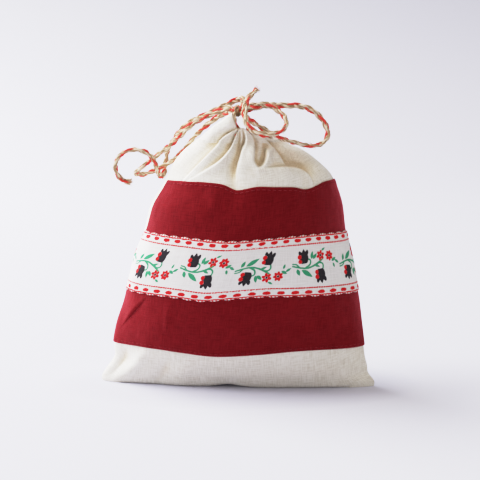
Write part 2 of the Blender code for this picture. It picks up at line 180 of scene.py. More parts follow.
# Folds that lap over: a sharp edge, high on the left-hand side of its direction and low on the right. Each point is
# (x, z, height above, depth below, width of the high side, width of the low side).
FRONT_LAPS = [
    [(0.3, 125.3, 0.3, 0.6, 1.0, 1.0), (-2.3, 123.9, 0.8, 2.2, 1.2, 1.4), (-5.1, 122.3, 1.3, 2.6, 1.6, 1.8), (-7.9, 120.2, 1.7, 2.2, 2.2, 2.2), (-9.7, 117.4, 1.9, 1.8, 2.6, 2.6),
     (-14.8, 112.4, 1.7, 1.4, 3.2, 3.0), (-19.5, 107.8, 1.2, 1.0, 4.0, 3.4), (-24.2, 102.7, 0.5, 0.4, 5.0, 4.0), (-27.0, 98.5, 0.0, 0.0, 5.0, 4.0)],
    [(0.5, 124.3, 0.3, 0.6, 0.9, 0.9), (-0.7, 122.5, 0.8, 2.4, 1.0, 1.2), (-1.8, 119.8, 1.3, 3.0, 1.2, 1.5), (-3.2, 116.7, 1.6, 2.8, 1.6, 1.9), (-5.5, 113.6, 1.7, 2.0, 2.2, 2.4),
     (-9.2, 110.0, 1.6, 1.4, 2.8, 3.0), (-14.8, 106.3, 1.0, 0.8, 3.6, 3.4), (-19.4, 103.4, 0.3, 0.2, 4.0, 4.0)],
    [(1.3, 124.2, 0.3, 0.4, 0.8, 0.8), (1.4, 121.2, 0.9, 1.4, 0.9, 0.9), (1.2, 118.4, 0.9, 1.4, 0.9, 0.9), (0.8, 115.6, 0.2, 0.4, 1.0, 1.0)],
    [(2.8, 124.2, 0.3, 0.5, 0.9, 0.8), (3.5, 121.1, 1.0, 2.2, 1.1, 1.1), (3.3, 118.4, 1.4, 2.6, 1.4, 1.3), (1.9, 115.8, 1.6, 2.6, 1.9, 1.8), (1.0, 112.8, 1.5, 2.2, 2.4, 2.4),
     (-0.2, 108.8, 1.1, 1.5, 3.0, 2.8), (-0.9, 105.0, 0.5, 0.7, 3.6, 3.4), (-0.9, 101.0, 0.0, 0.0, 4.0, 4.0)],
    [(17.8, 116.0, 0.2, 0.2, 1.6, 1.6), (15.8, 116.0, 0.8, 1.2, 1.8, 2.0), (13.9, 115.2, 1.3, 2.4, 2.4, 2.6), (13.2, 112.0, 1.6, 3.2, 2.8, 3.2), (11.9, 109.2, 1.5, 3.2, 2.8, 3.4), (9.6, 108.2, 1.3, 2.8, 2.6, 3.4),
     (7.6, 110.6, 0.8, 1.8, 2.0, 3.4), (7.7, 114.0, 0.6, 1.6, 1.8, 3.0), (7.9, 117.5, 0.6, 1.6, 1.5, 2.6), (7.0, 121.1, 0.5, 1.3, 1.2, 1.8), (4.9, 123.9, 0.2, 0.4, 1.0, 1.2)],
    [(-54.5, 30.5, 0.1, 0.1, 1.6, 1.6), (-51.0, 35.5, 0.5, 0.5, 2.2, 1.8), (-47.5, 40.0, 0.5, 0.5, 2.4, 1.8), (-44.0, 44.0, 0.1, 0.1, 2.0, 1.6)],
    [(24.0, 106.6, 0.2, 0.4, 3.0, 3.0), (21.8, 110.3, 0.9, 1.3, 3.0, 2.6), (19.1, 114.2, 1.0, 1.6, 2.4, 2.2), (15.9, 117.7, 0.8, 1.4, 1.8, 1.8), (13.1, 120.0, 0.2, 0.4, 1.4, 1.4)],
    [(35.4, 99.8, 0.2, 0.2, 3.0, 3.0), (34.7, 102.3, 1.0, 1.1, 3.0, 3.0), (33.1, 104.7, 1.5, 1.8, 3.4, 3.0), (29.8, 106.5, 1.6, 2.2, 3.6, 3.2), (24.1, 107.4, 1.4, 2.0, 4.0, 3.2), (17.1, 107.6, 0.9, 0.9, 4.0, 3.0), (11.1, 107.3, 0.3, 0.3, 4.0, 2.4)],
]


def nearest_on(x, z, line):
    """For each point: distance to a line, the side it is on, and the line's own numbers there."""
    best = np.full(x.shape, 1e9)
    side = np.zeros_like(x)
    facts = np.zeros(x.shape + (line.shape[1] - 2,))
    for a, b in zip(line, line[1:]):
        dx, dz = b[0] - a[0], b[1] - a[1]
        t = np.clip(((x - a[0]) * dx + (z - a[1]) * dz) / (dx * dx + dz * dz + 1e-9), 0, 1)
        ex, ez = x - a[0] - dx * t, z - a[1] - dz * t
        d = np.hypot(ex, ez)
        closer = d < best
        best[closer] = d[closer]
        side[closer] = np.sign(dx * ez - dz * ex)[closer]
        facts[closer] = (a[2:] + (b[2:] - a[2:]) * t[..., None])[closer]
    return best, side, facts


def lap_sum(x, z, laps):
    total = np.zeros_like(x)
    for lap in laps:
        line = catmull(lap, 7)
        low, high = line[:, :2].min(axis=0), line[:, :2].max(axis=0)
        reach = 3.0 * line[:, 4:6].max()
        near = (x > low[0] - reach) & (x < high[0] + reach) & (z > low[1] - reach) & (z < high[1] + reach)
        if not near.any():
            continue
        d, side, f = nearest_on(x[near], z[near], line)
        up = f[:, 0] * np.exp(-((d / f[:, 2]) ** 2))
        down = -f[:, 1] * np.exp(-((d / f[:, 3]) ** 1.6))
        t = smoothstep(0.5 + 0.5 * d * np.where(side == 0, 1, side) / 0.42)
        total[near] += down + (up - down) * t
    return total


def fold_sum(x, z, folds):
    total = np.zeros_like(x)
    for fold in folds:
        line = catmull(fold, 7)
        low, high = line[:, :2].min(axis=0), line[:, :2].max(axis=0)
        reach = 3.2 * line[:, 3:5].max()
        near = (x > low[0] - reach) & (x < high[0] + reach) & (z > low[1] - reach) & (z < high[1] + reach)
        if not near.any():
            continue
        px, pz = x[near], z[near]
        best = np.full(px.shape, 1e9)
        value = np.zeros_like(px)
        for a, b in zip(line, line[1:]):
            dx, dz = b[0] - a[0], b[1] - a[1]
            ll = dx * dx + dz * dz + 1e-9
            t = np.clip(((px - a[0]) * dx + (pz - a[1]) * dz) / ll, 0, 1)
            ex, ez = px - a[0] - dx * t, pz - a[1] - dz * t
            d = np.hypot(ex, ez)
            side = dx * ez - dz * ex
            width = np.where(side > 0, a[3] + (b[3] - a[3]) * t, a[4] + (b[4] - a[4]) * t)
            height = a[2] + (b[2] - a[2]) * t
            power = 1.7 if fold[len(fold) // 2][2] < 0 else 2.0
            v = height * np.exp(-((d / width) ** power))
            closer = d < best
            value[closer] = v[closer]
            best = np.minimum(best, d)
        total[near] += value
    return total


def back_folds():
    """Gathers on the plain back, fanning out from the casing."""
    out = []
    rng = np.random.RandomState(7)
    for k in range(9):
        top = -15.0 + 30.0 * k / 8 + rng.uniform(-1, 1)
        foot = top * (2.0 + rng.uniform(-0.15, 0.25)) + rng.uniform(-2, 2)
        low = 92.0 + rng.uniform(-12, 6)
        deep = -3.4 - rng.uniform(0, 1.2)
        wide = 1.5 + rng.uniform(0, 0.4)
        mid = 0.5 * (top + foot)
        out.append([(top, 119.5, 0.5 * deep, wide, wide), (top * 1.15, 114.0, deep, wide, wide * 1.2),
                    (mid, 105.0, 0.75 * deep, 2 * wide, 2 * wide), (foot, low, 0.0, 3.2 * wide, 3.2 * wide)])
    return out


BACK_FOLDS = back_folds()


def ripples(a, z, side):
    """Fine gathers round the neck and slow unevenness lower down."""
    neck = smoothstep((z - 111.0) / 10.0)
    seed = 3 if side < 0 else 11
    if side < 0:
        neck = neck * smoothstep((a - 0.45) / 0.35)
    fine = 0.5 * neck * np.sin(a * 17.0 + 1.3 * np.sin(a * 5.0 + seed) + 0.02 * z)
    body = 1.0 - smoothstep((z - 90.0) / 24.0)
    u = a * 45.0
    slow = 0.55 * noise(u / 26.0 + 3.1, z / 30.0, seed) + 0.22 * noise(u / 11.0, z / 14.0 + 5.0, seed + 1) + 0.07 * noise(u / 4.0, z / 5.0, seed + 2)
    return fine + slow * (0.35 + 0.65 * body)


def surface(a, z, side, off=0.0):
    """Points on a panel's outer face, folds and all. a runs from -pi/2, the left seam, to pi/2; z is the height."""
    a, z = np.broadcast_arrays(np.asarray(a, float), np.asarray(z, float))
    half, centre, depth, power = station(z)
    if side > 0:
        depth = depth + BACK_FULLER * np.minimum(z / 12.0, 1.0) * np.clip((116.0 - z) / 28.0, 0.0, 1.0)
    s, c = np.sin(a), np.maximum(np.cos(a), 0.0)
    x = centre + half * s
    y = side * (SEAM + (depth + WALL) * c**power)
    # outward direction of the smooth shape, in the horizontal plane
    nx = (depth + WALL) * power * np.maximum(c, 1e-3) ** (power - 1) * s
    ny = side * half * np.maximum(c, 0.02)
    length = np.hypot(nx, ny) + 1e-9
    nx, ny = nx / length, ny / length
    calm = smoothstep(c / 0.45)
    folds = fold_sum(x, z, FRONT_FOLDS if side < 0 else BACK_FOLDS)
    if side < 0:
        folds = folds + lap_sum(x, z, FRONT_LAPS)
    move = calm * (folds + ripples(a, z, side)) + off
    return np.stack([x + nx * move, y + ny * move, z], -1)


def valley(a, z, side):
    """How far a point lies down in one of the drawn folds, from 0 to 1; it adds to the painted shade in the linen's
    folds.
    """
    a, z = np.broadcast_arrays(np.asarray(a, float), np.asarray(z, float))
    half, centre, _, _ = station(z)
    x = centre + half * np.sin(a)
    folds = fold_sum(x, z, FRONT_FOLDS if side < 0 else BACK_FOLDS)
    if side < 0:
        folds = folds + lap_sum(x, z, FRONT_LAPS)
    return np.clip(-folds / 2.2, 0, 1) * smoothstep((z - 88.0) / 14.0) * smoothstep(np.cos(a) / 0.45)


def settle(p):
    """The base is turned a little, so that its right corner comes forward, and the bottom edge lifts off the floor in one place."""
    p = np.array(p, float)
    z = p[..., 2]
    turn = math.radians(-5.0) * (1.0 - smoothstep(z / 60.0))
    x, y = p[..., 0].copy(), p[..., 1].copy()
    p[..., 0] = x * np.cos(turn) - y * np.sin(turn)
    p[..., 1] = x * np.sin(turn) + y * np.cos(turn)
    # the side seams pull in a little above the floor, and run out to a pointed ear at each end of the bottom seam
    left = smoothstep((-x - 40.0) / 22.0)
    right = smoothstep((x - 40.0) / 22.0)
    p[..., 0] += left * (2.3 * np.exp(-(((z - 12.5) / 4.6) ** 2)) - 3.4 * np.exp(-((z / 4.0) ** 2)))
    p[..., 0] -= right * (0.9 * np.exp(-(((z - 12.0) / 4.6) ** 2)) + 1.7 * np.exp(-(((z - 6.5) / 3.2) ** 2)) - 2.4 * np.exp(-((z / 4.0) ** 2)))
    lift = 1.4 * np.exp(-(((x + 4.0) / 7.0) ** 2)) * np.clip(1.0 - z / 7.0, 0.0, 1.0) * smoothstep((-y - 2.0) / 4.0)
    p[..., 2] = z + lift
    return p


def normals_of(p):
    du = np.gradient(p, axis=1)
    dv = np.gradient(p, axis=0)
    n = np.cross(du, dv)
    return n / (np.linalg.norm(n, axis=-1, keepdims=True) + 1e-12)


# ================================================================ making objects
def build(name, points, faces, mats, uv=None, face_mat=None, smooth=True):
    """A mesh object from points in millimetres."""
    points = np.asarray(points, float).reshape(-1, 3) * MM
    faces = np.asarray(faces, np.int32)
    n = faces.shape[1]
    mesh = bpy.data.meshes.new(name)
    mesh.vertices.add(len(points))
    mesh.vertices.foreach_set("co", points.astype(np.float32).ravel())
    mesh.loops.add(faces.size)
    mesh.loops.foreach_set("vertex_index", faces.ravel())
    mesh.polygons.add(len(faces))
    mesh.polygons.foreach_set("loop_start", np.arange(0, faces.size, n, dtype=np.int32))
    if uv is not None:
        layer = mesh.uv_layers.new(name="UVMap")
        layer.data.foreach_set("uv", np.asarray(uv, np.float32).reshape(-1, 2)[faces.ravel()].ravel())
    for m in mats:
        mesh.materials.append(m)
    if face_mat is not None:
        mesh.polygons.foreach_set("material_index", np.asarray(face_mat, np.int32))
    mesh.polygons.foreach_set("use_smooth", np.full(len(faces), smooth))
    mesh.update(calc_edges=True)
    mesh.validate()
    obj = bpy.data.objects.new(name, mesh)
    scene.collection.objects.link(obj)
    return obj


def outward(obj):
    bm = bmesh.new()
    bm.from_mesh(obj.data)
    bmesh.ops.recalc_face_normals(bm, faces=bm.faces)
    bm.to_mesh(obj.data)
    bm.free()
    obj.data.polygons.foreach_set("use_smooth", np.full(len(obj.data.polygons), True))
    return obj


def grid_quads(rows, cols, base=0, flip=False):
    i, j = np.mgrid[0:rows - 1, 0:cols - 1]
    a = base + i * cols + j
    q = np.stack([a, a + 1, a + cols + 1, a + cols], -1).reshape(-1, 4)
    return q[:, ::-1] if flip else q


def smoothed(q, reach, axis):
    """Running mean along one axis of a grid."""
    pad = [(0, 0)] * q.ndim
    pad[axis] = (reach + 1, reach)
    total = np.cumsum(np.pad(q, pad, mode="edge"), axis=axis)
    size = q.shape[axis]
    upper = np.take(total, np.arange(2 * reach + 1, 2 * reach + 1 + size), axis=axis)
    lower = np.take(total, np.arange(0, size), axis=axis)
    return (upper - lower) / (2 * reach + 1)


def hollows(p, n):
    """How deep each point of a cloth lies in a fold, from 0 to 1, as the mask for the linen's painted shade."""
    found = np.zeros(p.shape[:2])
    for reach, depth, share in ((4, 0.34, 0.34), (10, 1.10, 0.36), (20, 2.3, 0.30)):
        q = p
        for axis in (0, 1):
            for _ in range(2):
                q = smoothed(q, reach, axis)
        found += share * np.clip(((q - p) * n).sum(-1) / depth, 0, 1)
    return found


def shell(name, outer, inner, uv, mats, hollow=None):
    """Two matching grids joined round their edges: a sheet with a thickness."""
    rows, cols = outer.shape[:2]
    n = rows * cols
    faces = [grid_quads(rows, cols), grid_quads(rows, cols, n, True)]
    i = np.arange(rows - 1)
    j = np.arange(cols - 1)
    for c in (0, cols - 1):
        a = i * cols + c
        q = np.stack([a, a + cols, n + a + cols, n + a], -1)
        faces.append(q if c == 0 else q[:, ::-1])
    for r in (0, rows - 1):
        a = r * cols + j
        q = np.stack([a, n + a, n + a + 1, a + 1], -1)
        faces.append(q if r == 0 else q[:, ::-1])
    uv2 = np.concatenate([uv.reshape(-1, 2), uv.reshape(-1, 2)])
    obj = outward(build(name, np.concatenate([outer.reshape(-1, 3), inner.reshape(-1, 3)]), np.concatenate(faces), mats, uv2))
    # painted shade: the fold depth is stored on the outer points for the linen's colour; the inner face gets a flat
    # half share
    if hollow is not None:
        both = np.concatenate([hollow.ravel(), np.full(n, 0.5)])
        obj.data.attributes.new("hollow", "FLOAT", "POINT").data.foreach_set("value", both.astype(np.float32))
    return obj


def arc_uv(p):
    """Texture coordinates in centimetres of cloth."""
    u = np.zeros(p.shape[:2])
    v = np.zeros(p.shape[:2])
    u[:, 1:] = np.cumsum(np.linalg.norm(np.diff(p, axis=1), axis=-1), axis=1)
    u -= u[:, p.shape[1] // 2][:, None]
    v[1:] = np.cumsum(np.linalg.norm(np.diff(p, axis=0), axis=-1), axis=0)
    return np.stack([u, v], -1) / 10.0


# ================================================================ materials
def new_material(name):
    m = bpy.data.materials.new(name)
    m.use_nodes = True
    nt = m.node_tree
    return m, nt, nt.nodes["Principled BSDF"]


def node(nt, kind, **inputs):
    n = nt.nodes.new(kind)
    for k, v in inputs.items():
        if k.startswith("_"):
            setattr(n, k[1:], v)
        else:
            n.inputs[k.replace("__", " ")].default_value = v
    return n


def maths(nt, op, a, b=None, clamp=False):
    n = nt.nodes.new("ShaderNodeMath")
    n.operation = op
    n.use_clamp = clamp
    for i, v in enumerate((a, b)):
        if v is None:
            continue
        if isinstance(v, (int, float)):
            n.inputs[i].default_value = v
        else:
            nt.links.new(v, n.inputs[i])
    return n.outputs[0]


def mix(nt, factor, a, b, blend="MIX"):
    n = nt.nodes.new("ShaderNodeMix")
    n.data_type = "RGBA"
    n.blend_type = blend
    for i, v in ((0, factor), (6, a), (7, b)):
        if isinstance(v, (int, float)):
            n.inputs[i].default_value = v
        elif isinstance(v, tuple):
            n.inputs[i].default_value = (*v, 1.0)
        else:
            nt.links.new(v, n.inputs[i])
    return n.outputs[2]


def scaled_noise(nt, uv, sx, sy, detail=3.0, rough=0.6, seed=0.0):
    """Noise stretched along the cloth's own directions. sx and sy are features per centimetre."""
    m = nt.nodes.new("ShaderNodeMapping")
    m.inputs["Scale"].default_value = (sx, sy, 1.0)
    m.inputs["Location"].default_value = (seed, seed * 1.7, 0.0)
    nt.links.new(uv, m.inputs["Vector"])
    n = nt.nodes.new("ShaderNodeTexNoise")
    n.noise_dimensions = "2D"
    n.inputs["Scale"].default_value = 1.0
    n.inputs["Detail"].default_value = detail
    n.inputs["Roughness"].default_value = rough
    nt.links.new(m.outputs[0], n.inputs["Vector"])
    return n.outputs["Fac"]


def weave(nt, uv, per_cm_u, per_cm_v):
    """The height of a plain weave, from 0 to 1: threads along one way pass over and under those along the other."""
    sep = nt.nodes.new("ShaderNodeSeparateXYZ")
    nt.links.new(uv, sep.inputs[0])
    wobble_u = scaled_noise(nt, uv, 2.0, 9.0, 2.0, 0.5, 4.0)
    wobble_v = scaled_noise(nt, uv, 9.0, 2.0, 2.0, 0.5, 9.0)
    u = maths(nt, "ADD", maths(nt, "MULTIPLY", sep.outputs[0], math.pi * per_cm_u), maths(nt, "MULTIPLY", wobble_v, 2.2))
    v = maths(nt, "ADD", maths(nt, "MULTIPLY", sep.outputs[1], math.pi * per_cm_v), maths(nt, "MULTIPLY", wobble_u, 2.2))
    su, sv = maths(nt, "SINE", u), maths(nt, "SINE", v)
    over = maths(nt, "MULTIPLY", maths(nt, "COSINE", u), maths(nt, "COSINE", v))
    warp = maths(nt, "MULTIPLY", maths(nt, "ABSOLUTE", su), maths(nt, "ADD", maths(nt, "MULTIPLY", over, 0.5), 0.5))
    weft = maths(nt, "MULTIPLY", maths(nt, "ABSOLUTE", sv), maths(nt, "SUBTRACT", 0.5, maths(nt, "MULTIPLY", over, 0.5)))
    return maths(nt, "ADD", warp, weft)


def bump(nt, shader, height, strength, distance):
    b = nt.nodes.new("ShaderNodeBump")
    b.inputs["Strength"].default_value = strength
    b.inputs["Distance"].default_value = distance
    nt.links.new(height, b.inputs["Height"])
    nt.links.new(b.outputs[0], shader.inputs["Normal"])


def cloth_material(name, colour, dark, light, threads, rough=0.9, sheen=0.25, sheen_tint=(1, 1, 1), slub=1.0, bumpy=0.00014, shade=None, deep=None, gloss=0.15, fuzz=0.5):
    m, nt, sh = new_material(name)
    uv = node(nt, "ShaderNodeUVMap", _uv_map="UVMap").outputs[0]
    w = weave(nt, uv, threads, threads)
    along = scaled_noise(nt, uv, 1.6, 26.0, 2.0, 0.6, 1.0)
    across = scaled_noise(nt, uv, 26.0, 1.6, 2.0, 0.6, 2.0)
    cloud = scaled_noise(nt, uv, 0.5, 0.5, 3.0, 0.6, 3.0)
    slubs = maths(nt, "ADD", along, across)
    tone = maths(nt, "MULTIPLY", maths(nt, "SUBTRACT", slubs, 1.0), 1.6 * slub)
    tone = maths(nt, "ADD", tone, maths(nt, "MULTIPLY", maths(nt, "SUBTRACT", cloud, 0.5), 0.8))
    tone = maths(nt, "ADD", tone, maths(nt, "MULTIPLY", maths(nt, "SUBTRACT", w, 0.5), 0.65))
    tone = maths(nt, "ADD", tone, 0.5, clamp=True)
    base = mix(nt, tone, dark, light)
    base = mix(nt, 0.45, colour, base)
    # painted shade: the linen is darkened to beige in its folds and to brown in the tightest creases, from a fold-depth
    # amount stored on the points
    if shade is not None:
        hollow = node(nt, "ShaderNodeAttribute", _attribute_name="hollow").outputs["Fac"]
        wide = maths(nt, "MULTIPLY", hollow, 2.0, clamp=True)
        tight = maths(nt, "SUBTRACT", maths(nt, "MULTIPLY", hollow, 2.0), 1.0, clamp=True)
        crease_painted_shade = mix(nt, tight, shade, deep)
        base = mix(nt, wide, base, mix(nt, 1.0, base, crease_painted_shade, "MULTIPLY"))
    nt.links.new(base, sh.inputs["Base Color"])
    sh.inputs["Roughness"].default_value = rough
    sh.inputs["Specular IOR Level"].default_value = gloss
    sh.inputs["Sheen Weight"].default_value = sheen
    sh.inputs["Sheen Roughness"].default_value = fuzz
    sh.inputs["Sheen Tint"].default_value = (*sheen_tint, 1.0)
    height = maths(nt, "ADD", w, maths(nt, "MULTIPLY", slubs, 0.8))
    bump(nt, sh, height, 0.6, bumpy)
    return m


# shade and deep are painted shade colours: beige over the folds and brown in the tightest creases
LINEN = cloth_material("linen", (0.725, 0.68, 0.585), (0.50, 0.45, 0.35), (0.90, 0.875, 0.81), 16.0, slub=1.35, shade=(0.96, 0.895, 0.785), deep=(0.80, 0.68, 0.52))
RED = cloth_material("red_cotton", (0.136, 0.0044, 0.0060), (0.072, 0.0018, 0.0030), (0.208, 0.0090, 0.0125), 20.0, 0.9, 1.0, (1.0, 0.17, 0.22), 1.5, 0.00012, None, None, 0.03, 0.42)


def thread_material(name, colour, dark):
    m, nt, sh = new_material(name)
    uv = node(nt, "ShaderNodeUVMap", _uv_map="UVMap").outputs[0]
    n = scaled_noise(nt, uv, 3.0, 40.0, 2.0, 0.6)
    nt.links.new(mix(nt, n, dark, colour), sh.inputs["Base Color"])
    sh.inputs["Roughness"].default_value = 0.7
    sh.inputs["Specular IOR Level"].default_value = 0.2
    bump(nt, sh, n, 0.4, 0.00006)
    return m


RED_THREAD = thread_material("red_thread", (0.33, 0.018, 0.028), (0.13, 0.004, 0.008))
CREAM_THREAD = thread_material("cream_thread", (0.86, 0.83, 0.76), (0.66, 0.61, 0.52))


def yarn_material(name, colour, dark, light):
    """A hairy jute yarn: streaks along it, and fibres that catch the light."""
    m, nt, sh = new_material(name)
    uv = node(nt, "ShaderNodeUVMap", _uv_map="UVMap").outputs[0]
    streak = scaled_noise(nt, uv, 2.5, 30.0, 4.0, 0.7)
    patch = scaled_noise(nt, uv, 3.0, 3.0, 3.0, 0.6, 5.0)
    base = mix(nt, streak, dark, light)
    base = mix(nt, maths(nt, "MULTIPLY", patch, 0.9), base, colour)
    nt.links.new(base, sh.inputs["Base Color"])
    sh.inputs["Roughness"].default_value = 0.88
    sh.inputs["Specular IOR Level"].default_value = 0.25
    sh.inputs["Sheen Weight"].default_value = 0.3
    sh.inputs["Sheen Roughness"].default_value = 0.4
    bump(nt, sh, streak, 0.9, 0.00016)
    return m


JUTE_TAN = yarn_material("jute_tan", (0.40, 0.265, 0.14), (0.19, 0.11, 0.05), (0.58, 0.42, 0.25))
JUTE_CREAM = yarn_material("jute_cream", (0.72, 0.59, 0.42), (0.42, 0.30, 0.17), (0.88, 0.79, 0.63))
JUTE_RED = yarn_material("jute_red", (0.72, 0.038, 0.024), (0.42, 0.014, 0.010), (0.86, 0.10, 0.065))
# painted shade: a dark brown jute for the knot, standing in for the shade inside it
JUTE_PAINTED_SHADE = yarn_material("jute_painted_shade", (0.22, 0.135, 0.07), (0.10, 0.055, 0.025), (0.36, 0.24, 0.13))


def ribbon_material():
    """White woven ribbon; the flowers are woven in with red, black and green floats. Each mark's distance is stored on the points."""
    m, nt, sh = new_material("woven_ribbon")
    uv = node(nt, "ShaderNodeUVMap", _uv_map="UVMap").outputs[0]
    w = weave(nt, uv, 30.0, 34.0)
    along = scaled_noise(nt, uv, 1.2, 30.0, 2.0, 0.6, 1.0)
    across = scaled_noise(nt, uv, 30.0, 1.2, 2.0, 0.6, 6.0)
    tone = maths(nt, "ADD", maths(nt, "MULTIPLY", maths(nt, "ADD", along, across), 0.85), maths(nt, "MULTIPLY", w, 0.4))
    tone = maths(nt, "SUBTRACT", tone, 0.45, clamp=True)
    base = mix(nt, tone, (0.52, 0.49, 0.45), (0.765, 0.745, 0.715))
    floats = scaled_noise(nt, uv, 5.0, 48.0, 2.0, 0.5, 7.0)
    ragged = maths(nt, "MULTIPLY", maths(nt, "SUBTRACT", floats, 0.5), 0.22)
    raised = None
    for name, dark, light in (
        ("mark_green", (0.02, 0.17, 0.08), (0.06, 0.36, 0.18)),
        ("mark_red", (0.40, 0.004, 0.006), (0.66, 0.014, 0.016)),
        ("mark_black", (0.007, 0.006, 0.008), (0.035, 0.028, 0.032)),
    ):
        at = node(nt, "ShaderNodeAttribute", _attribute_name=name).outputs["Fac"]
        edge = maths(nt, "MULTIPLY", maths(nt, "ADD", at, ragged), 7.0)
        mask = maths(nt, "ADD", edge, 0.5, clamp=True)
        base = mix(nt, mask, base, mix(nt, floats, dark, light))
        raised = mask if raised is None else maths(nt, "MAXIMUM", raised, mask)
    nt.links.new(base, sh.inputs["Base Color"])
    sh.inputs["Roughness"].default_value = 0.7
    sh.inputs["Specular IOR Level"].default_value = 0.12
    height = maths(nt, "ADD", maths(nt, "MULTIPLY", w, 0.4), maths(nt, "MULTIPLY", raised, 0.9))
    height = maths(nt, "ADD", height, maths(nt, "MULTIPLY", floats, 0.5))
    bump(nt, sh, height, 0.5, 0.00012)
    return m


RIBBON = ribbon_material()

# ================================================================ cords
COARSE = 1.0


def route(points, step=0.45):
    line = catmull(points, 12)
    seg = np.linalg.norm(np.diff(line, axis=0), axis=1)
    s = np.concatenate([[0.0], np.cumsum(seg)])
    count = max(8, int(round(s[-1] / step)))
    at = np.linspace(0.0, s[-1], count + 1)
    return np.stack([np.interp(at, s, line[:, k]) for k in range(3)], -1), at


def frames(line, start=(0.0, 0.0, 1.0)):
    """Directions across a line that turn as little as possible along it."""
    t = np.gradient(line, axis=0)
    t /= np.linalg.norm(t, axis=1, keepdims=True) + 1e-12
    n = np.zeros_like(t)
    v = np.array(start, float)
    v -= t[0] * (v @ t[0])
    if np.linalg.norm(v) < 0.1:
        v = np.array((1.0, 0.0, 0.0)) - t[0] * t[0][0]
    n[0] = v / np.linalg.norm(v)
    for i in range(1, len(t)):
        v = n[i - 1] - t[i] * (n[i - 1] @ t[i])
        n[i] = v / (np.linalg.norm(v) + 1e-12)
    return t, n, np.cross(t, n)


class Yarns:
    """Collects tubes into one mesh."""

    def __init__(self):
        self.points, self.faces, self.uv, self.mat, self.count = [], [], [], [], 0

    def tube(self, line, radius, mat, sides=6, s=None, start=(0.0, 0.0, 1.0)):
        line = np.asarray(line, float)
        n = len(line)
        t, a, b = frames(line, start)
        radius = np.broadcast_to(np.asarray(radius, float), (n,))
        ang = 2 * np.pi * np.arange(sides) / sides
        ring = a[:, None, :] * np.cos(ang)[None, :, None] + b[:, None, :] * np.sin(ang)[None, :, None]
        pts = line[:, None, :] + ring * radius[:, None, None]
        if s is None:
            s = np.concatenate([[0.0], np.cumsum(np.linalg.norm(np.diff(line, axis=0), axis=1))])
        uv = np.stack([np.broadcast_to(np.asarray(s)[:, None] / 10.0, (n, sides)), np.broadcast_to((ang * 0.05 + 0.31 * (self.count % 97))[None, :], (n, sides))], -1)
        i, j = np.mgrid[0:n - 1, 0:sides]
        k = (j + 1) % sides
        q = self.count + np.stack([i * sides + j, i * sides + k, (i + 1) * sides + k, (i + 1) * sides + j], -1).reshape(-1, 4)
        self.faces.append(q)
        self.mat.append(np.full(len(q), mat))
        self.points.append(pts.reshape(-1, 3))
        self.uv.append(uv.reshape(-1, 2))
        self.count += n * sides
        # closed ends
        for end, tip in ((0, line[0]), (n - 1, line[-1])):
            self.points.append(tip[None, :] + (t[end] * radius[end] * (0.4 if end else -0.4))[None, :])
            self.uv.append(np.array([[s[end] / 10.0, 0.0]]))
            base = self.count - n * sides + end * sides if end == 0 else self.count - 1 - sides
            ring_at = (self.count - n * sides) if end == 0 else (self.count - 1 - sides)
            j = np.arange(sides)
            k = (j + 1) % sides
            if end == 0:
                q = np.stack([ring_at + k, ring_at + j, np.full(sides, self.count), np.full(sides, self.count)], -1)
            else:
                q = np.stack([ring_at + j, ring_at + k, np.full(sides, self.count), np.full(sides, self.count)], -1)
            self.caps = getattr(self, "caps", []) + [(q[:, :3], mat)]
            self.count += 1

    def object(self, name, mats):
        points = np.concatenate(self.points)
        uv = np.concatenate(self.uv)
        quads = np.concatenate(self.faces)
        qm = np.concatenate(self.mat)
        tris = np.concatenate([c for c, _ in self.caps])
        tm = np.concatenate([np.full(len(c), m) for c, m in self.caps])
        mesh = bpy.data.meshes.new(name)
        mesh.vertices.add(len(points))
        mesh.vertices.foreach_set("co", (points * MM).astype(np.float32).ravel())
        loops = np.concatenate([quads.ravel(), tris.ravel()]).astype(np.int32)
        mesh.loops.add(len(loops))
        mesh.loops.foreach_set("vertex_index", loops)
        mesh.polygons.add(len(quads) + len(tris))
        starts = np.concatenate([np.arange(len(quads)) * 4, quads.size + np.arange(len(tris)) * 3]).astype(np.int32)
        mesh.polygons.foreach_set("loop_start", starts)
        layer = mesh.uv_layers.new(name="UVMap")
        layer.data.foreach_set("uv", uv[loops].astype(np.float32).ravel())
        for m in mats:
            mesh.materials.append(m)
        mesh.polygons.foreach_set("material_index", np.concatenate([qm, tm]).astype(np.int32))
        mesh.polygons.foreach_set("use_smooth", np.full(len(mesh.polygons), True))
        mesh.update(calc_edges=True)
        mesh.validate()
        obj = bpy.data.objects.new(name, mesh)
        scene.collection.objects.link(obj)
        return obj


PITCH = 16.0        # one strand's whole way through the plait
MIX = ((2, 2, 0, 2), (0, 1, 1, 0), (0, 1, 0, 1))      # the yarns of each strand: 0 tan, 1 cream, 2 red


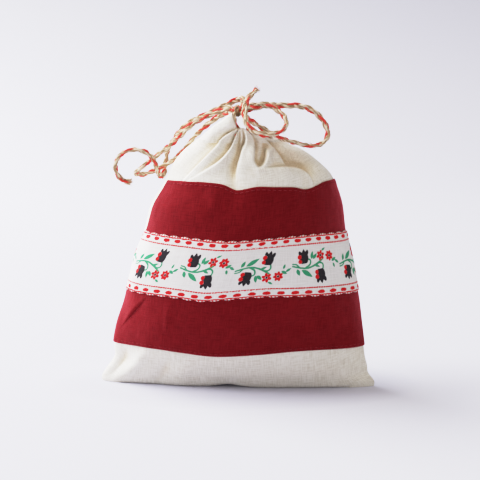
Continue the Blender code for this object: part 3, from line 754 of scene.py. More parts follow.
def plait(name, points, seed=0, begin=0.0, twist=0.5, fray=(), start=(0.0, 0.0, 1.0), step=0.42, mats=(JUTE_TAN, JUTE_CREAM, JUTE_RED)):
    """A three-strand jute plait along a route. Each strand is three yarns twisted together. fray lists the ends that come undone."""
    line, s = route(points, step)
    t, a, b = frames(line, start)
    rng = np.random.RandomState(seed)
    turn = twist * (s / 40.0) + 0.35 * noise(s / 22.0, s * 0 + 3, seed)
    ca, sa = np.cos(turn)[:, None], np.sin(turn)[:, None]
    a, b = a * ca + b * sa, b * ca - a * sa
    yarns = Yarns()
    loose = np.zeros(len(s))
    for end in fray:
        d = s if end == 0 else s[-1] - s
        loose = np.maximum(loose, 1.0 - smoothstep(d / 5.0))
    for strand in range(3):
        phase = 2 * np.pi * ((s + begin) / PITCH + strand / 3.0)
        wide = 0.84 * np.sin(phase) * (1.0 + 0.06 * noise(s / 5.0, s * 0 + strand, seed + 5))
        deep = 0.40 * np.sin(2 * phase)
        core = line + a * wide[:, None] + b * deep[:, None]
        for k in range(4):
            spin = 2 * np.pi * (s / 7.5 + k / 4.0) + strand * 1.1 + 0.5 * noise(s / 6.0, s * 0 + k, seed + 8)
            away = 0.40 * (1.0 + 0.20 * noise(s / 3.0, s * 0 + k + 4 * strand, seed + 2))
            splay = loose * (0.30 + 0.25 * rng.uniform(-1, 1))
            direction = rng.uniform(0, 2 * np.pi)
            path = core + a * (away * np.cos(spin) + splay * np.cos(direction))[:, None] + b * (away * np.sin(spin) + splay * np.sin(direction))[:, None]
            radius = 0.355 * (1.0 + 0.16 * noise(s / 2.0, s * 0 + k + 7 * strand, seed + 4)) * (1.0 - 0.25 * loose)
            yarns.tube(path, radius, MIX[strand][k], 6, s)
    # loose fibres that stand off the plait
    total = s[-1]
    for _ in range(int(total * 2.0)):
        at = rng.uniform(0, len(s) - 1)
        i = int(at)
        ang = rng.uniform(0, 2 * np.pi)
        out = a[i] * math.cos(ang) + b[i] * math.sin(ang)
        side = np.cross(t[i], out)
        length = rng.uniform(0.8, 2.6)
        lean = rng.uniform(-1, 1)
        p0 = line[i] + out * 1.05
        q = np.linspace(0, 1, 5)[:, None]
        path = p0 + (out * 0.42 * q + t[i] * lean * 0.9 * q + side * rng.uniform(-0.5, 0.5) * q * q) * length
        yarns.tube(path, 0.06 * (1 - 0.7 * q[:, 0]), int(rng.choice([0, 0, 1, 1, 2], p=[0.4, 0.15, 0.25, 0.1, 0.1])), 3)
    for end in fray:
        tip, way = (line[0], -t[0]) if end == 0 else (line[-1], t[-1])
        i = 0 if end == 0 else len(s) - 1
        for _ in range(46):
            ang, far = rng.uniform(0, 2 * np.pi), rng.uniform(0, 1.5)
            out = a[i] * math.cos(ang) + b[i] * math.sin(ang)
            length = rng.uniform(0.7, 1.9)
            q = np.linspace(0, 1, 6)[:, None]
            path = tip - way * 0.8 + out * far + way * length * q + out * (0.55 * far) * q * q + np.cross(way, out) * rng.uniform(-0.6, 0.6) * q * q
            yarns.tube(path, 0.09 * (1 - 0.6 * q[:, 0]), int(rng.choice([0, 1, 2], p=[0.5, 0.33, 0.17])), 4)
    return yarns.object(name, mats), line * MM


KNOT = np.array((1.0, -0.5, 132.5))
LEFT_LOOP = (
    (-0.9, 3.4, 132.7), (-3.2, 8.5, 131.4), (-7.0, 13.5, 130.2), (-12.8, 17.0, 126.5), (-20.5, 17.8, 119.6),
    (-26.5, 17.6, 112.4), (-32.8, 17.0, 106.6), (-39.5, 16.4, 103.0), (-45.0, 14.8, 101.0), (-48.6, 11.2, 101.2),
    (-48.8, 7.4, 102.8), (-46.0, 5.8, 105.3), (-41.5, 6.2, 108.8), (-36.5, 6.2, 112.6), (-31.0, 5.0, 117.0),
    (-26.6, 4.0, 121.4), (-21.5, 3.4, 126.2), (-15.0, 3.0, 129.8), (-9.0, 2.5, 132.2), (-4.2, 1.0, 133.5),
)
LEFT_TAIL = (
    (2.2, 1.7, 135.8), (2.6, 4.6, 137.7), (0.2, 7.3, 137.6), (-4.0, 7.9, 135.6), (-9.5, 7.5, 133.0), (-16.0, 7.3, 130.0),
    (-22.5, 7.6, 126.8), (-27.4, 9.0, 122.8), (-31.4, 13.0, 117.4), (-34.2, 17.6, 112.6), (-35.4, 20.6, 106.6),
    (-36.2, 19.6, 101.2), (-37.4, 15.6, 99.6), (-38.5, 10.2, 101.8), (-39.1, 4.6, 105.4), (-40.4, 0.4, 109.6),
    (-44.2, -1.4, 113.2), (-50.0, -1.0, 114.2), (-55.2, -1.0, 112.2), (-58.2, -1.0, 107.6), (-57.6, -0.4, 102.6),
    (-54.4, 0.8, 99.2), (-51.2, 1.5, 98.4),
)
RIGHT_LOOP = (
    (2.3, -4.7, 131.7), (3.2, -9.2, 131.0), (5.0, -14.8, 129.6), (9.0, -17.4, 127.0), (15.0, -17.5, 123.6),
    (21.0, -16.6, 120.4), (28.0, -15.2, 118.4), (34.0, -13.2, 117.0), (39.4, -11.6, 118.2), (41.9, -10.2, 121.6),
    (41.2, -9.2, 125.8), (38.8, -8.4, 129.6), (34.6, -7.6, 133.2), (29.0, -6.7, 135.2), (22.0, -5.9, 135.4),
    (15.0, -4.9, 135.4), (9.0, -3.4, 134.4), (5.3, -2.0, 133.4),
)
RIGHT_TAIL = (
    (3.4, -5.2, 135.3), (7.6, -8.4, 135.4), (12.6, -9.8, 136.0), (17.4, -11.0, 134.2), (21.2, -13.6, 131.0),
    (22.4, -17.4, 127.6), (20.4, -20.6, 124.8), (16.0, -21.8, 123.2), (11.0, -21.8, 123.2), (6.8, -21.2, 124.8),
    (4.2, -20.2, 127.8), (3.2, -18.4, 131.0), (3.2, -15.0, 134.0), (3.9, -11.4, 137.2), (5.6, -8.8, 140.0), (9.0, -6.6, 143.0),
)

knot_parts = []
wrap = []
for k in range(15):
    w = 2 * math.pi * k / 14 * 1.02
    wrap.append((-0.5 + 0.5 * math.sin(w), -0.5 + 2.15 * math.cos(w + 2.2), 132.5 + 1.9 * math.sin(w + 2.2)))
second = []
for k in range(11):
    w = math.pi * 1.35 * k / 10 + 2.6
    second.append((1.0 + 1.3 * math.cos(w * 0.8), -0.6 + 2.2 * math.cos(w), 133.2 + 2.0 * math.sin(w)))
# the knot uses the dark painted-shade jute in place of tan, and tan in place of cream
knot_a, _ = plait("bow_knot_wrap", wrap, 31, 2.0, 0.2, start=(1.0, 0.0, 0.0), mats=(JUTE_PAINTED_SHADE, JUTE_TAN, JUTE_RED))
knot_b, _ = plait("bow_knot_turn", second, 32, 5.0, 0.2, start=(1.0, 0.0, 0.0), mats=(JUTE_PAINTED_SHADE, JUTE_TAN, JUTE_RED))
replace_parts(knot_a, "bow_knot")
for o in (knot_a, knot_b):
    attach(o, "bow")

BOW = {}
for name, cad, points, seed, begin, fray, pieces in (
    ("left_loop_plait", "left_bow_loop", ((0.6, 0.6, 132.6),) + LEFT_LOOP + ((-0.6, -0.2, 133.2),), 1, 0.0, (), (knot_a, knot_b)),
    ("right_loop_plait", "right_bow_loop", ((1.4, -1.6, 132.4),) + RIGHT_LOOP + ((2.4, -0.8, 132.8),), 2, 4.0, (), (knot_a, knot_b)),
    ("left_tail_plait", "left_tail", ((1.4, -0.8, 133.4),) + LEFT_TAIL, 3, 7.0, (1,), (knot_a, knot_b)),
    ("right_tail_plait", "right_tail", ((1.8, -2.4, 133.6),) + RIGHT_TAIL, 4, 1.0, (1,), (knot_a, knot_b)),
):
    obj, path = plait(name, points, seed, begin, 0.9, fray)
    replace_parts(obj, cad)
    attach(obj, "bow")
    BOW[name] = obj

LEFT_LEG = ((1.3, -8.75, 121.8), (0.4, -8.0, 123.4), (-1.1, -6.4, 125.6), (-1.9, -4.2, 128.0), (-1.8, -2.0, 130.4), (-0.8, -0.6, 132.2))
RIGHT_LEG = ((5.1, -9.2, 119.6), (5.1, -8.8, 122.8), (5.0, -7.4, 125.4), (4.6, -4.8, 127.8), (3.8, -1.6, 130.2), (2.4, -0.6, 132.0))
for name, cad, points, seed in (("left_leg_plait", "left_cord_leg", LEFT_LEG, 21), ("right_leg_plait", "right_cord_leg", RIGHT_LEG, 22)):
    obj, _ = plait(name, points, seed, 3.0 * seed, 0.3)
    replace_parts(obj, cad)
    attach(obj, "bow")

# ================================================================ cloth
HALF_PI = math.pi / 2
FRONT_BLEND = dict(start=(0, 0, 0.134), end=(0, -0.001277, 0.134908))
BACK_BLEND = dict(start=(0, 0, 0.134), end=(0, 0.001277, 0.134908))
FOOT = 118.2


def spread_angles(low, high, count):
    return np.linspace(low, high, count)


def body_rows(count):
    """Heights up a panel, closer together where the folds are."""
    t = np.linspace(0, 1, count)
    return FOOT * (t + 0.10 * np.sin(2 * np.pi * t) / (2 * np.pi) * 2.0)


def tongue(a):
    """How far the front cloth runs on above the casing's foot, at each angle."""
    half, centre, _, _ = station(np.full(np.shape(a), 121.0))
    x = centre + half * np.sin(a)
    return 0.15 + (6.9 - 0.16 * (x - 2.2) ** 2) * smoothstep((x + 0.6) / 0.7) * smoothstep((7.3 - x) / 0.7)


def panel(name, side, cols, rows):
    a = spread_angles(-HALF_PI, HALF_PI, cols)[None, :]
    z = body_rows(rows)[:, None]
    p = surface(a, z, side)
    valley_painted_shade = [np.zeros((4, cols)), valley(a, z, side)]
    if side < 0:
        # a tongue closes the slit's lower part, where the gathers meet
        tall = []
        for t in np.linspace(0.08, 1, 26):
            zz = FOOT + t * tongue(a)
            tall.append(surface(a, zz, side, -0.02))
            valley_painted_shade.append(valley(a, zz, side))
        p = np.concatenate([p, np.concatenate(tall)])
    # the floor, from the bottom seam outwards
    half, centre, depth, power = station(np.zeros(1))
    floor = []
    for t in (0.0, 0.35, 0.7, 0.9):
        q = p[0].copy()
        q[:, 1] = side * SEAM + (q[:, 1] - side * SEAM) * t
        q[:, 0] *= 1.0 - 0.035 * (1.0 - t) ** 2
        q[:, 2] = 0.0
        floor.append(q)
    # round the front edge where it turns under
    p = np.concatenate([np.array(floor), p])
    low = p[..., 2]
    p[..., 1] -= side * 0.9 * np.clip(1.0 - low / 1.6, 0, 1) ** 2 * (np.abs(p[..., 1]) > 4.0)
    n = normals_of(p) * (1.0 if side < 0 else -1.0)
    inner = p - n * 0.55
    inner[..., 2] = np.maximum(inner[..., 2], 0.5)
    keep = side * inner[..., 1] < 0.12
    inner[..., 1] = np.where(keep, side * 0.12, inner[..., 1])
    uv = arc_uv(p)
    # painted shade: the fold depth and the drawn valleys set how far the linen is darkened here
    hollow = np.clip(hollows(p, n) + 0.42 * np.concatenate(valley_painted_shade), 0, 1)
    if side > 0:
        p, inner, uv, hollow = p[:, ::-1], inner[:, ::-1], uv[:, ::-1], hollow[:, ::-1]
    return shell(name, settle(p), settle(inner), uv, (LINEN,), hollow)


front = panel("front_panel_cloth", -1, 340, 330)
back = panel("back_panel_cloth", 1, 260, 240)
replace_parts(front, "front_panel")
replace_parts(back, "back_panel")
for o, body, law in ((front, "front_lip", FRONT_BLEND), (back, "back_lip", BACK_BLEND)):
    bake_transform(o)


def top_front_left(x):
    return np.interp(x, (-19.0, -16.6, -13.7, -10.4, -6.8, -4.6, -2.9, -1.5, 0.2), (119.6, 121.6, 124.6, 127.2, 129.8, 131.4, 132.2, 131.0, 128.5))


def top_front_right(x):
    return np.interp(x, (6.0, 8.0, 12.3, 16.0, 18.5), (125.0, 124.4, 121.8, 120.0, 119.5))


def top_back(x):
    return np.interp(x, (-18.5, -14.0, -8.0, 0.0, 7.0, 12.0, 16.0, 18.5), (119.8, 122.8, 124.0, 123.8, 123.4, 121.6, 120.1, 119.6))


def x_at(a, z):
    half, centre, _, _ = station(z)
    return centre + half * np.sin(a)


def angle_at(x, z):
    half, centre, _, _ = station(z)
    return np.arcsin(np.clip((x - centre) / half, -1, 1))


def casing(name, side, top, a0, a1, cols, rows, ruffle, mats=(LINEN,)):
    """A stretch of gathered casing: up the outside, over the fold, and down the inside, round the cord. a0 and a1 are functions of height."""
    u = np.linspace(0, 1, cols)[None, :]
    peak = np.full((1, cols), 125.0)
    for _ in range(12):
        a = a0(peak) + (a1(peak) - a0(peak)) * u
        peak = 0.5 * peak + 0.5 * top(x_at(a, peak))
    a = a0(peak) + (a1(peak) - a0(peak)) * u
    rag = ruffle * (0.6 * np.sin(a * 15 + 0.7) + 0.5 * noise(a * 6.0, a * 0 + 2.0, 5) + 0.3 * noise(a * 17.0, a * 0 + 4.0, 6))
    peak = peak + 0.35 * rag
    rise = np.maximum(peak - FOOT, 1.2)
    bend = np.minimum(1.5, 0.45 * rise)
    t = np.linspace(0, 1, rows)[:, None]
    outer = []
    zs = FOOT + (rise - bend) * t
    aa = a0(zs) + (a1(zs) - a0(zs)) * u
    grow = smoothstep((zs - FOOT) / 6.0) * rag * 0.6
    outer.append(surface(aa, zs, side, 0.02 + grow))
    last_a = aa[-1:]
    thick = 4.6
    for k in range(1, 9):
        w = math.pi * k / 8
        z = peak - bend + bend * math.sin(w)
        off = grow[-1:] - 0.5 * thick * (1 - math.cos(w))
        ak = a0(z) + (a1(z) - a0(z)) * u
        outer.append(surface(ak, z, side, off))
    zs2 = (peak - bend) + (119.9 - (peak - bend)) * np.linspace(0.12, 1, 10)[:, None]
    zs2 = np.minimum(zs2, peak - bend)
    ak = a0(zs2) + (a1(zs2) - a0(zs2)) * u
    outer.append(surface(ak, zs2, side, -thick + 0.3 * grow[-1:]))
    p = np.concatenate(outer)
    # the two cloths meet on the middle line, so nothing crosses it
    p[..., 1] = side * np.maximum(side * p[..., 1], 0.12)
    n = normals_of(p) * (1.0 if side < 0 else -1.0)
    inner = p - n * 0.45
    inner[..., 1] = side * np.maximum(side * inner[..., 1], 0.10)
    uv = arc_uv(p)
    # painted shade: the casing's fold depth darkens its linen in the gathers
    hollow = hollows(p, n)
    if side > 0:
        p, inner, uv, hollow = p[:, ::-1], inner[:, ::-1], uv[:, ::-1], hollow[:, ::-1]
    return shell(name, settle(p), settle(inner), uv, mats, hollow)


hood = casing("hood_casing_cloth", -1, top_front_left, lambda z: np.full_like(z, -HALF_PI), lambda z: angle_at(-0.3 - 2.6 * smoothstep((z - 123.0) / 10.0), z), 130, 46, 0.25)
right_casing = casing("right_casing_cloth", -1, top_front_right, lambda z: angle_at(6.9, z), lambda z: np.full_like(z, HALF_PI), 80, 26, 0.8)
back_casing = casing("back_casing_cloth", 1, top_back, lambda z: np.full_like(z, -HALF_PI), lambda z: np.full_like(z, HALF_PI), 200, 26, 1.0)
for o, cad, body, law in (
    (hood, "front_casing_left", "front_lip", FRONT_BLEND),
    (right_casing, "front_casing_right", "front_lip", FRONT_BLEND),
    (back_casing, "back_casing", "back_lip", BACK_BLEND),
):
    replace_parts(o, cad)
    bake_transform(o)


# ---------------------------------------------------------------- band and ribbon
def bell(x, at, width):
    return np.exp(-(((x - at) / width) ** 2))


def left_end(z):
    return np.radians(-87.0 + 14.5 * smoothstep((z - 42.0) / 45.0))


RIGHT_END = math.radians(87.0)


def band_low(a):
    return through(x_at(a, 20.0), (-61, -42, -26, -11, 6, 29, 60), (19.9, 20.2, 19.2, 18.0, 18.9, 20.6, 20.0))


def band_high(a):
    return through(x_at(a, 99.5), (-37, -25, -15, -7, 0, 3.7, 8, 16, 26, 32, 36, 41, 46), (100.0, 100.7, 100.8, 100.0, 97.6, 98.2, 99.1, 99.0, 98.5, 97.3, 98.4, 100.1, 100.4))


def ribbon_low(a):
    return through(x_at(a, 47.0), (-53, -29, -15, -6, 10, 25, 41, 57), (46.6, 46.5, 45.9, 47.0, 48.4, 48.0, 47.2, 45.9))


def ribbon_high(a):
    return through(x_at(a, 76.0), (-43, -24, -4, 14, 25, 36, 51), (76.3, 75.8, 74.9, 76.0, 76.6, 76.8, 76.0))


def strip_grid(low, high, cols, rows):
    t = np.linspace(0, 1, rows)[:, None]
    u = np.linspace(0, 1, cols)[None, :]
    a = -HALF_PI + math.pi * u
    for _ in range(4):
        z = low(a) + (high(a) - low(a)) * t
        a = left_end(z) + (RIGHT_END - left_end(z)) * u
    z = low(a) + (high(a) - low(a)) * t
    return a, z


def offset_surface(a, z, off):
    p = surface(a, z, -1)
    n = normals_of(p)
    return p, p + n * off[..., None] if isinstance(off, np.ndarray) else p + n * off


def strip(name, low, high, cols, rows, near, thick, mats, roll=0.5, wavy=0.0):
    a, z = strip_grid(low, high, cols, rows)
    p = surface(a, z, -1)
    n = normals_of(p)
    uv = arc_uv(p)
    # distance from the nearest long edge, for the rolled edge
    v = uv[..., 1] * 10.0
    edge = np.minimum(v, v[-1:] - v)
    soft = 1.0 - roll * np.exp(-((edge / 0.45) ** 2))
    puff = wavy * noise(uv[..., 0] * 1.4, uv[..., 1] * 1.4, 9)
    outer = p + n * (near + thick * soft + puff)[..., None]
    inner = p + n * (near * 0.5)
    return shell(name, settle(outer), settle(inner), uv, mats), uv, a, z


band, _, _, _ = strip("red_band_cloth", band_low, band_high, 330, 200, 0.25, 0.55, (RED,), 0.45, 0.05)
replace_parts(band, "red_band")
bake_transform(band)


# ---------------------------------------------------------------- the ribbon's woven pattern, as signed distances in mm, positive inside
def disc(u, v, cu, cv, r):
    return r - np.hypot(u - cu, v - cv)


def oval(u, v, cu, cv, ru, rv, turn=0.0):
    c, s = math.cos(turn), math.sin(turn)
    du, dv = u - cu, v - cv
    x, y = (du * c + dv * s) / ru, (dv * c - du * s) / rv
    k = np.hypot(x, y)
    return (1.0 - k) * min(ru, rv)


def leaf(u, v, u0, v0, u1, v1, fat):
    """A pointed leaf from one point to another."""
    dx, dy = u1 - u0, v1 - v0
    length = math.hypot(dx, dy)
    dx, dy = dx / length, dy / length
    t = ((u - u0) * dx + (v - v0) * dy) / length
    d = np.abs((v - v0) * dx - (u - u0) * dy)
    tt = np.clip(t, 0, 1)
    w = fat * np.sin(np.pi * tt**0.85)
    out = np.where((t < 0) | (t > 1), np.hypot(d, np.where(t < 0, -t, t - 1) * length), 0)
    return np.where(out > 0, -out, w - d)


def stroke(u, v, pts, r0, r1):
    """A curved line of the given half widths at its ends."""
    line = catmull(pts, 6)
    best = np.full(u.shape, -1e9)
    m = len(line) - 1
    for i in range(m):
        a, b = line[i], line[i + 1]
        dx, dy = b - a
        t = np.clip(((u - a[0]) * dx + (v - a[1]) * dy) / (dx * dx + dy * dy + 1e-9), 0, 1)
        d = np.hypot(u - a[0] - dx * t, v - a[1] - dy * t)
        best = np.maximum(best, r0 + (r1 - r0) * (i + t) / m - d)
    return best


def bloom(u, v, cu, cv, turn, size=1.0):
    """A bell-shaped flower seen from the side: black cup with three points, two red lobes at its mouth."""
    c, s = math.cos(turn), math.sin(turn)
    x, y = ((u - cu) * c + (v - cv) * s) / size, ((v - cv) * c - (u - cu) * s) / size
    cup = np.minimum(oval(x, y, 0.0, -0.5, 2.1, 2.6), y + 2.6)
    cup = np.maximum(cup, leaf(x, y, -1.0, 0.2, -2.1, 3.2, 0.75))
    cup = np.maximum(cup, leaf(x, y, 0.0, 0.2, 0.2, 3.4, 0.85))
    cup = np.maximum(cup, leaf(x, y, 1.0, 0.2, 2.3, 3.0, 0.75))
    cup = np.minimum(cup, 3.0 - np.hypot(x, y) * 0.9)
    red = np.maximum(disc(x, y, -1.9, 0.4, 0.95), disc(x, y, -1.8, -1.5, 0.9))
    return cup * size, red * size


def motif(u, v):
    """One spray, centred on (0, 0), about 24 mm long."""
    green = stroke(u, v, [(-12.5, 0.2), (-8.5, -0.7), (-4.5, -0.9), (-0.5, 0.6), (3.0, 2.6)], 0.36, 0.42)
    green = np.maximum(green, stroke(u, v, [(-6.0, -0.8), (-3.8, 0.6), (-3.6, 2.6), (-6.0, 3.4)], 0.42, 0.36))
    green = np.maximum(green, stroke(u, v, [(-2.0, -0.2), (1.5, 1.2), (3.4, 0.2), (3.0, -2.4)], 0.40, 0.38))
    green = np.maximum(green, stroke(u, v, [(-9.0, -0.6), (-10.5, 0.8), (-12.6, 1.2)], 0.34, 0.28))
    for l in ((-3.0, 3.0, -2.2, 6.6, 0.75), (-2.2, 3.0, 0.2, 5.4, 0.75), (-10.2, -1.2, -8.8, -4.2, 0.85), (-8.0, -1.6, -2.4, -5.0, 1.05),
              (-1.6, 0.6, 1.8, -0.8, 0.6), (3.0, 6.4, 5.4, 7.6, 0.5), (8.6, 1.6, 11.4, 3.0, 0.7), (9.4, 0.8, 10.2, -1.6, 0.55), (10.6, 2.0, 13.2, 0.4, 0.6)):
        green = np.maximum(green, leaf(u, v, *l))
    black_a, red_a = bloom(u, v, -7.0, 4.0, math.radians(8.0), 1.12)
        # the second bloom hangs, and its red lobes are on the left
    black_b, red_b = bloom(u, -v, 2.0, 4.4, math.radians(-6.0), 1.12)
    black = np.maximum(black_a, black_b)
    red = np.maximum(red_a, red_b)
    for cu, cv, petals in ((2.2, 4.4, 6), (7.4, 4.0, 7)):
        for k in range(petals):
            w = 2 * math.pi * k / petals + 0.3
            red = np.maximum(red, oval(u, v, cu + 1.45 * math.cos(w), cv + 1.45 * math.sin(w), 0.90, 0.66, w))
        black = np.maximum(black, disc(u, v, cu, cv, 0.58))
    black = np.where(red > 0.1, -1.0, black) * 1.0
    return red, black, green


def ribbon_marks(u, v, width):
    """Distances to the red, black and green marks of the whole ribbon. u along it from its left end, v across it from its lower edge."""
    red = np.full(u.shape, -9.0)
    black = np.full(u.shape, -9.0)
    green = np.full(u.shape, -9.0)
    mid = 0.5 * width
    for k in range(-1, 7):
        centre = 17.5 + 26.25 * k
        flip = 1.0 if k % 2 else -1.0
        near = np.abs(u - centre) < 15.5
        if not near.any():
            continue
        r, b, g = motif(u[near] - centre, (v[near] - mid) * flip * 0.92)
        red[near] = np.maximum(red[near], r)
        black[near] = np.maximum(black[near], b)
        green[near] = np.maximum(green[near], g)
    for edge, way in ((0.0, 1.0), (width, -1.0)):
        d = (v - edge) * way
        wave = 0.45 + 0.62 * np.abs(np.sin(np.pi * (u + 1.0) / 6.2))
        red = np.maximum(red, 0.40 - np.abs(d - wave))
        red = np.maximum(red, 0.34 - np.hypot((u + 1.0) % 1.55 - 0.775, d - 0.2) * 0.9)
        cell = (u + 4.1) % 6.2 - 3.1
        ragged = 0.12 * noise(u / 0.5, d / 0.5, 17)
        red = np.maximum(red, oval(cell, d, 0.0, 2.5, 1.8, 1.02) + ragged)
        dash = np.abs((u % 1.24) - 0.62)
        red = np.maximum(red, np.minimum(0.38 - np.abs(d - 4.7), (0.50 - dash) * 1.0))
    return red, black, green


def ribbon_piece():
    cols, rows = (420, 110)
    a, z = strip_grid(ribbon_low, ribbon_high, cols, rows)
    p = surface(a, z, -1)
    n = normals_of(p)
    uv = arc_uv(p)
    middle = uv[rows // 2, :, 0] * 10.0
    u = np.broadcast_to(middle - middle[0], a.shape)
    v = uv[..., 1] * 10.0
    width = float(np.median(v[-1]))
    v = v * (width / v[-1:])
    # scalloped edges: the outermost rows move in and out
    scallop = 0.72 * (1.0 - np.abs(np.sin(np.pi * (u + 1.0) / 6.2))) + 0.22 * np.abs(np.sin(np.pi * (u + 0.4) / 1.55))
    low_side = np.exp(-((v / 1.2) ** 2))
    high_side = np.exp(-(((width - v) / 1.2) ** 2))
    up = np.zeros_like(p)
    up[1:-1] = p[2:] - p[:-2]
    up[0], up[-1] = p[1] - p[0], p[-1] - p[-2]
    up /= np.linalg.norm(up, axis=-1, keepdims=True)
    p = p + up * ((low_side - high_side) * scallop)[..., None]
    red, black, green = ribbon_marks(u, v, width)
    marks = np.maximum(np.maximum(red, black), green)
    raise_it = 0.07 * smoothstep((marks + 0.1) / 0.3)
    edge = np.minimum(v, width - v)
    soft = 1.0 - 0.5 * np.exp(-((edge / 0.35) ** 2))
    ease = 0.12 * noise(u / 9.0, v / 8.0, 21)
    outer = p + n * (1.05 + 0.32 * soft + raise_it + ease)[..., None]
    inner = p + n * 0.85
    full = np.stack([u / 10.0, v / 10.0], -1)
    obj = shell("floral_ribbon_cloth", settle(outer), settle(inner), full, (RIBBON,))
    count = rows * cols
    for name, field in (("mark_red", red), ("mark_black", black), ("mark_green", green)):
        at = obj.data.attributes.new(name, "FLOAT", "POINT")
        values = np.full(2 * count, -1.0, np.float32)
        values[:count] = np.clip(field, -1.0, 1.0).ravel()
        at.data.foreach_set("value", values)
    return obj


ribbon = ribbon_piece()
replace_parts(ribbon, "floral_ribbon")
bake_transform(ribbon)


# ---------------------------------------------------------------- stitches
def stitch_row(name, cad, a, z, side, height, mat, pitch=2.7, long=2.05, radius=0.15, seed=0):
    """A row of machine stitches along a line on the cloth, each one dipping into it at both ends."""
    a, z = np.asarray(a, float), np.asarray(z, float)
    p = surface(a, z, side)
    eps = 0.02
    du = surface(a + eps, z, side) - surface(a - eps, z, side)
    dv = surface(a, z + 0.5, side) - surface(a, z - 0.5, side)
    n = np.cross(du, dv) * (1.0 if side < 0 else -1.0)
    n /= np.linalg.norm(n, axis=-1, keepdims=True)
    seg = np.linalg.norm(np.diff(p, axis=0), axis=1)
    s = np.concatenate([[0.0], np.cumsum(seg)])
    rng = np.random.RandomState(seed + 5)
    yarns = Yarns()
    at = 0.6
    while at + long < s[-1]:
        here = at + rng.uniform(-0.06, 0.06)
        q = np.linspace(0, 1, 7)
        where = here + q * long
        c = np.stack([np.interp(where, s, p[:, k]) for k in range(3)], -1)
        m = np.stack([np.interp(where, s, n[:, k]) for k in range(3)], -1)
        arch = height + 0.12 * np.sin(np.pi * q) - 0.30 * (np.abs(2 * q - 1) ** 4)
        c = c + m * arch[:, None]
        yarns.tube(settle(c), radius * (0.75 + 0.25 * np.sin(np.pi * q)), 0, 6, where)
        at += pitch
    obj = yarns.object(name, (mat,))
    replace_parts(obj, cad) if cad else None
    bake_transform(obj)
    return obj


def seam_angles(rule, shift, low=-89.0, high=85.0, count=500):
    a = np.radians(np.linspace(low, high, count))
    z = rule(a) + shift
    keep = a > left_end(z) + math.radians(1.2)
    return a[keep], z[keep]


a, z = seam_angles(band_high, -1.5)
stitch_row("band_top_stitches", "band_top_stitch", a, z, -1, 0.86, RED_THREAD, 2.5, 1.8)
a, z = seam_angles(band_low, 1.5)
stitch_row("band_bottom_stitches", "band_bottom_stitch", a, z, -1, 0.86, RED_THREAD, 2.5, 1.8)
a, z = seam_angles(ribbon_high, -4.0)
stitch_row("ribbon_top_stitches", "ribbon_top_stitch", a, z, -1, 1.44, CREAM_THREAD, 2.7, 2.0, 0.11)
a, z = seam_angles(ribbon_low, 4.0)
stitch_row("ribbon_bottom_stitches", "ribbon_bottom_stitch", a, z, -1, 1.44, CREAM_THREAD, 2.7, 2.0, 0.11)

line = np.full(300, 119.3)
a = np.linspace(-HALF_PI + 0.12, float(angle_at(-1.6, 119.3)), 300)
stitch_row("front_casing_left_stitches", "front_casing_left_stitch", a, line, -1, 0.12, CREAM_THREAD, 2.7, 2.0, 0.11)
a = np.linspace(float(angle_at(8.2, 119.3)), HALF_PI - 0.12, 300)
stitch_row("front_casing_right_stitches", "front_casing_right_stitch", a, line, -1, 0.12, CREAM_THREAD, 2.7, 2.0, 0.11)
a = np.linspace(-HALF_PI + 0.12, HALF_PI - 0.12, 400)
stitch_row("back_casing_stitches", "back_casing_stitch", a, np.full(400, 119.3), 1, 0.12, CREAM_THREAD, 2.7, 2.0, 0.11)
a = np.linspace(float(angle_at(-7.0, 127.4)), float(angle_at(-1.2, 127.4)), 120)
stitch_row("hood_edge_stitches", None, a, np.full(120, 127.4), -1, 0.12, CREAM_THREAD, 2.6, 1.9, 0.10)


def seam_thread(name, cad, points, seed):
    yarns = Yarns()
    line = catmull(points, 10)
    seg = np.linalg.norm(np.diff(line, axis=0), axis=1)
    s = np.concatenate([[0.0], np.cumsum(seg)])
    at = 0.5
    while at + 2.0 < s[-1]:
        q = np.linspace(0, 1, 5)
        where = at + 2.0 * q
        c = np.stack([np.interp(where, s, line[:, k]) for k in range(3)], -1)
        yarns.tube(settle(c), 0.13, 0, 5, where)
        at += 2.7
    obj = yarns.object(name, (CREAM_THREAD,))
    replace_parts(obj, cad)
    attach(obj, "pouch")


for name, cad, sign in (("left_seam_stitches", "left_seam_stitch", -1), ("right_seam_stitches", "right_seam_stitch", 1)):
    pts = []
    for zz in (3, 9, 16, 26, 38, 50, 62, 74, 86, 96, 104, 110, 115):
        half, centre, _, _ = station(np.array([float(zz)]))
        pts.append((float(centre[0] + sign * (half[0] - 2.6)), 0.0, float(zz)))
    seam_thread(name, cad, pts, 3)
seam_thread("bottom_seam_stitches", "bottom_seam_stitch", [(x, 0.0, 1.3) for x in range(-55, 56, 10)], 4)

# ---------------------------------------------------------------- the cord inside the casing
def run_piece(name, cad, side, a0, a1, seed):
    a = np.linspace(a0, a1, 24)
    p = surface(a, np.full(24, 121.9), side, -2.6)
    half, centre, depth, power = station(np.full(24, 121.9))
    s, c = np.sin(a), np.maximum(np.cos(a), 0)
    p = np.stack([centre + (half - 2.6) * s, side * (SEAM + (depth + WALL - 2.9) * c**power), np.full(24, 121.7) - 1.6 * np.abs(s) ** 3], -1)
    obj, _ = plait(name, settle(p), seed, 0.0, 0.2)
    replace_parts(obj, cad)
    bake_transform(obj)
    return obj


seam = math.radians(86)
run_piece("front_left_run_plait", "drawstring_front_left_run", -1, -seam, float(angle_at(-0.2, 122.0)), 41)
run_piece("front_right_run_plait", "drawstring_front_right_run", -1, float(angle_at(7.6, 122.0)), seam, 42)
run_piece("back_run_plait", "drawstring_back_run", 1, -seam, seam, 43)


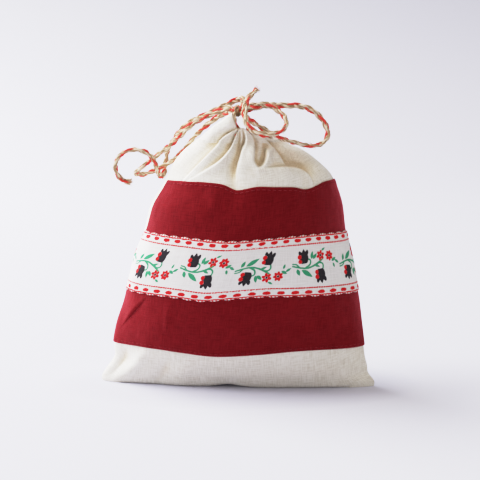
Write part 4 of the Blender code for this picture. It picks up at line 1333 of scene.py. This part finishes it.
# ================================================================ floor and light
def backdrop():
    m, nt, sh = new_material("backdrop")
    place = node(nt, "ShaderNodeTexCoord").outputs["Object"]
    sep = nt.nodes.new("ShaderNodeSeparateXYZ")
    nt.links.new(place, sep.inputs[0])
    # painted shade: the backdrop's colour darkens towards the top and towards the right, as light falls off there
    high = maths(nt, "DIVIDE", sep.outputs[2], 0.62, clamp=True)
    right = maths(nt, "ADD", maths(nt, "MULTIPLY", sep.outputs[0], 0.8), 0.35, clamp=True)
    base = mix(nt, high, (0.676, 0.671, 0.772), (0.118, 0.115, 0.138))
    base = mix(nt, right, base, mix(nt, 1.0, base, (0.78, 0.775, 0.785), "MULTIPLY"))
    # painted light: the sweep glows by itself, so that the long shadow stays pale; the glow is cut out in an oval round
    # the pouch's foot, which leaves a painted shadow there
    nt.links.new(mix(nt, 1.0, base, (0.82, 0.82, 0.835), "MULTIPLY"), sh.inputs["Base Color"])
    nt.links.new(mix(nt, 1.0, base, (1.0, 0.97, 0.845), "MULTIPLY"), sh.inputs["Emission Color"])
    # painted shadow: the glow fades to nothing inside an oval round the pouch
    across = maths(nt, "DIVIDE", sep.outputs[0], 0.070)
    deep = maths(nt, "DIVIDE", sep.outputs[1], 0.038)
    reach = maths(nt, "ADD", maths(nt, "MULTIPLY", across, across), maths(nt, "MULTIPLY", deep, deep))
    painted_glow_mask = maths(nt, "MULTIPLY", maths(nt, "SUBTRACT", reach, 0.50), 0.85, clamp=True)
    nt.links.new(maths(nt, "MULTIPLY", painted_glow_mask, 0.33), sh.inputs["Emission Strength"])
    sh.inputs["Roughness"].default_value = 0.95
    sh.inputs["Specular IOR Level"].default_value = 0.1
    ys = list(np.linspace(-5.0, 0.9, 24))
    prof = [(y, 0.0) for y in ys]
    for k in range(1, 13):
        w = math.pi / 2 * k / 12
        prof.append((0.9 + 0.8 * math.sin(w), 0.8 * (1 - math.cos(w))))
    prof.append((1.7, 2.6))
    xs = np.linspace(-5.0, 5.0, 17)
    pts = np.array([[(x, y, z) for x in xs] for y, z in prof]) / MM
    obj = build("backdrop", pts, grid_quads(len(prof), len(xs)), (m,))
    return obj


backdrop()


def area(name, where, aim, size, power, colour, shape="RECTANGLE", size_y=None):
    data = bpy.data.lights.new(name, "AREA")
    data.shape = shape
    data.size = size
    data.size_y = size_y or size
    data.energy = power
    data.color = colour
    obj = bpy.data.objects.new(name, data)
    scene.collection.objects.link(obj)
    obj.location = where
    from mathutils import Vector
    obj.rotation_euler = (Vector(aim) - Vector(where)).to_track_quat("-Z", "Y").to_euler()
    return obj


area("key", (-1.28, 0.48, 0.94), (0.0, 0.0, 0.06), 1.7, 112.0, (0.935, 0.95, 1.0), size_y=1.6)
area("front_fill", (0.5, -1.6, 1.2), (0.0, 0.0, 0.05), 1.6, 2.0, (0.97, 0.98, 1.0), size_y=1.2)

# the camera's response: straight up to the middle greys, then a long shoulder, so that bright linen keeps its folds
scene.view_settings.view_transform = "Standard"
scene.view_settings.look = "None"
scene.view_settings.use_curve_mapping = True
response = scene.view_settings.curve_mapping
response.white_level = (3.0, 3.0, 3.0)
response.use_clip = False
shoulder = response.curves[3]
shoulder.points[0].location = (0.0, 0.0)
shoulder.points[1].location = (1.0, 0.965)
for exposure, shown in ((0.10, 0.092), (0.25, 0.245), (0.40, 0.40), (0.57, 0.555), (0.80, 0.695), (1.10, 0.795), (1.50, 0.860), (2.10, 0.915)):
    shoulder.points.new(exposure / 3.0, shown)
response.update()

world = bpy.data.worlds.new("studio")
scene.world = world
world.use_nodes = True
world.node_tree.nodes["Background"].inputs[0].default_value = (1.0, 0.962, 0.91, 1.0)
world.node_tree.nodes["Background"].inputs[1].default_value = 0.74
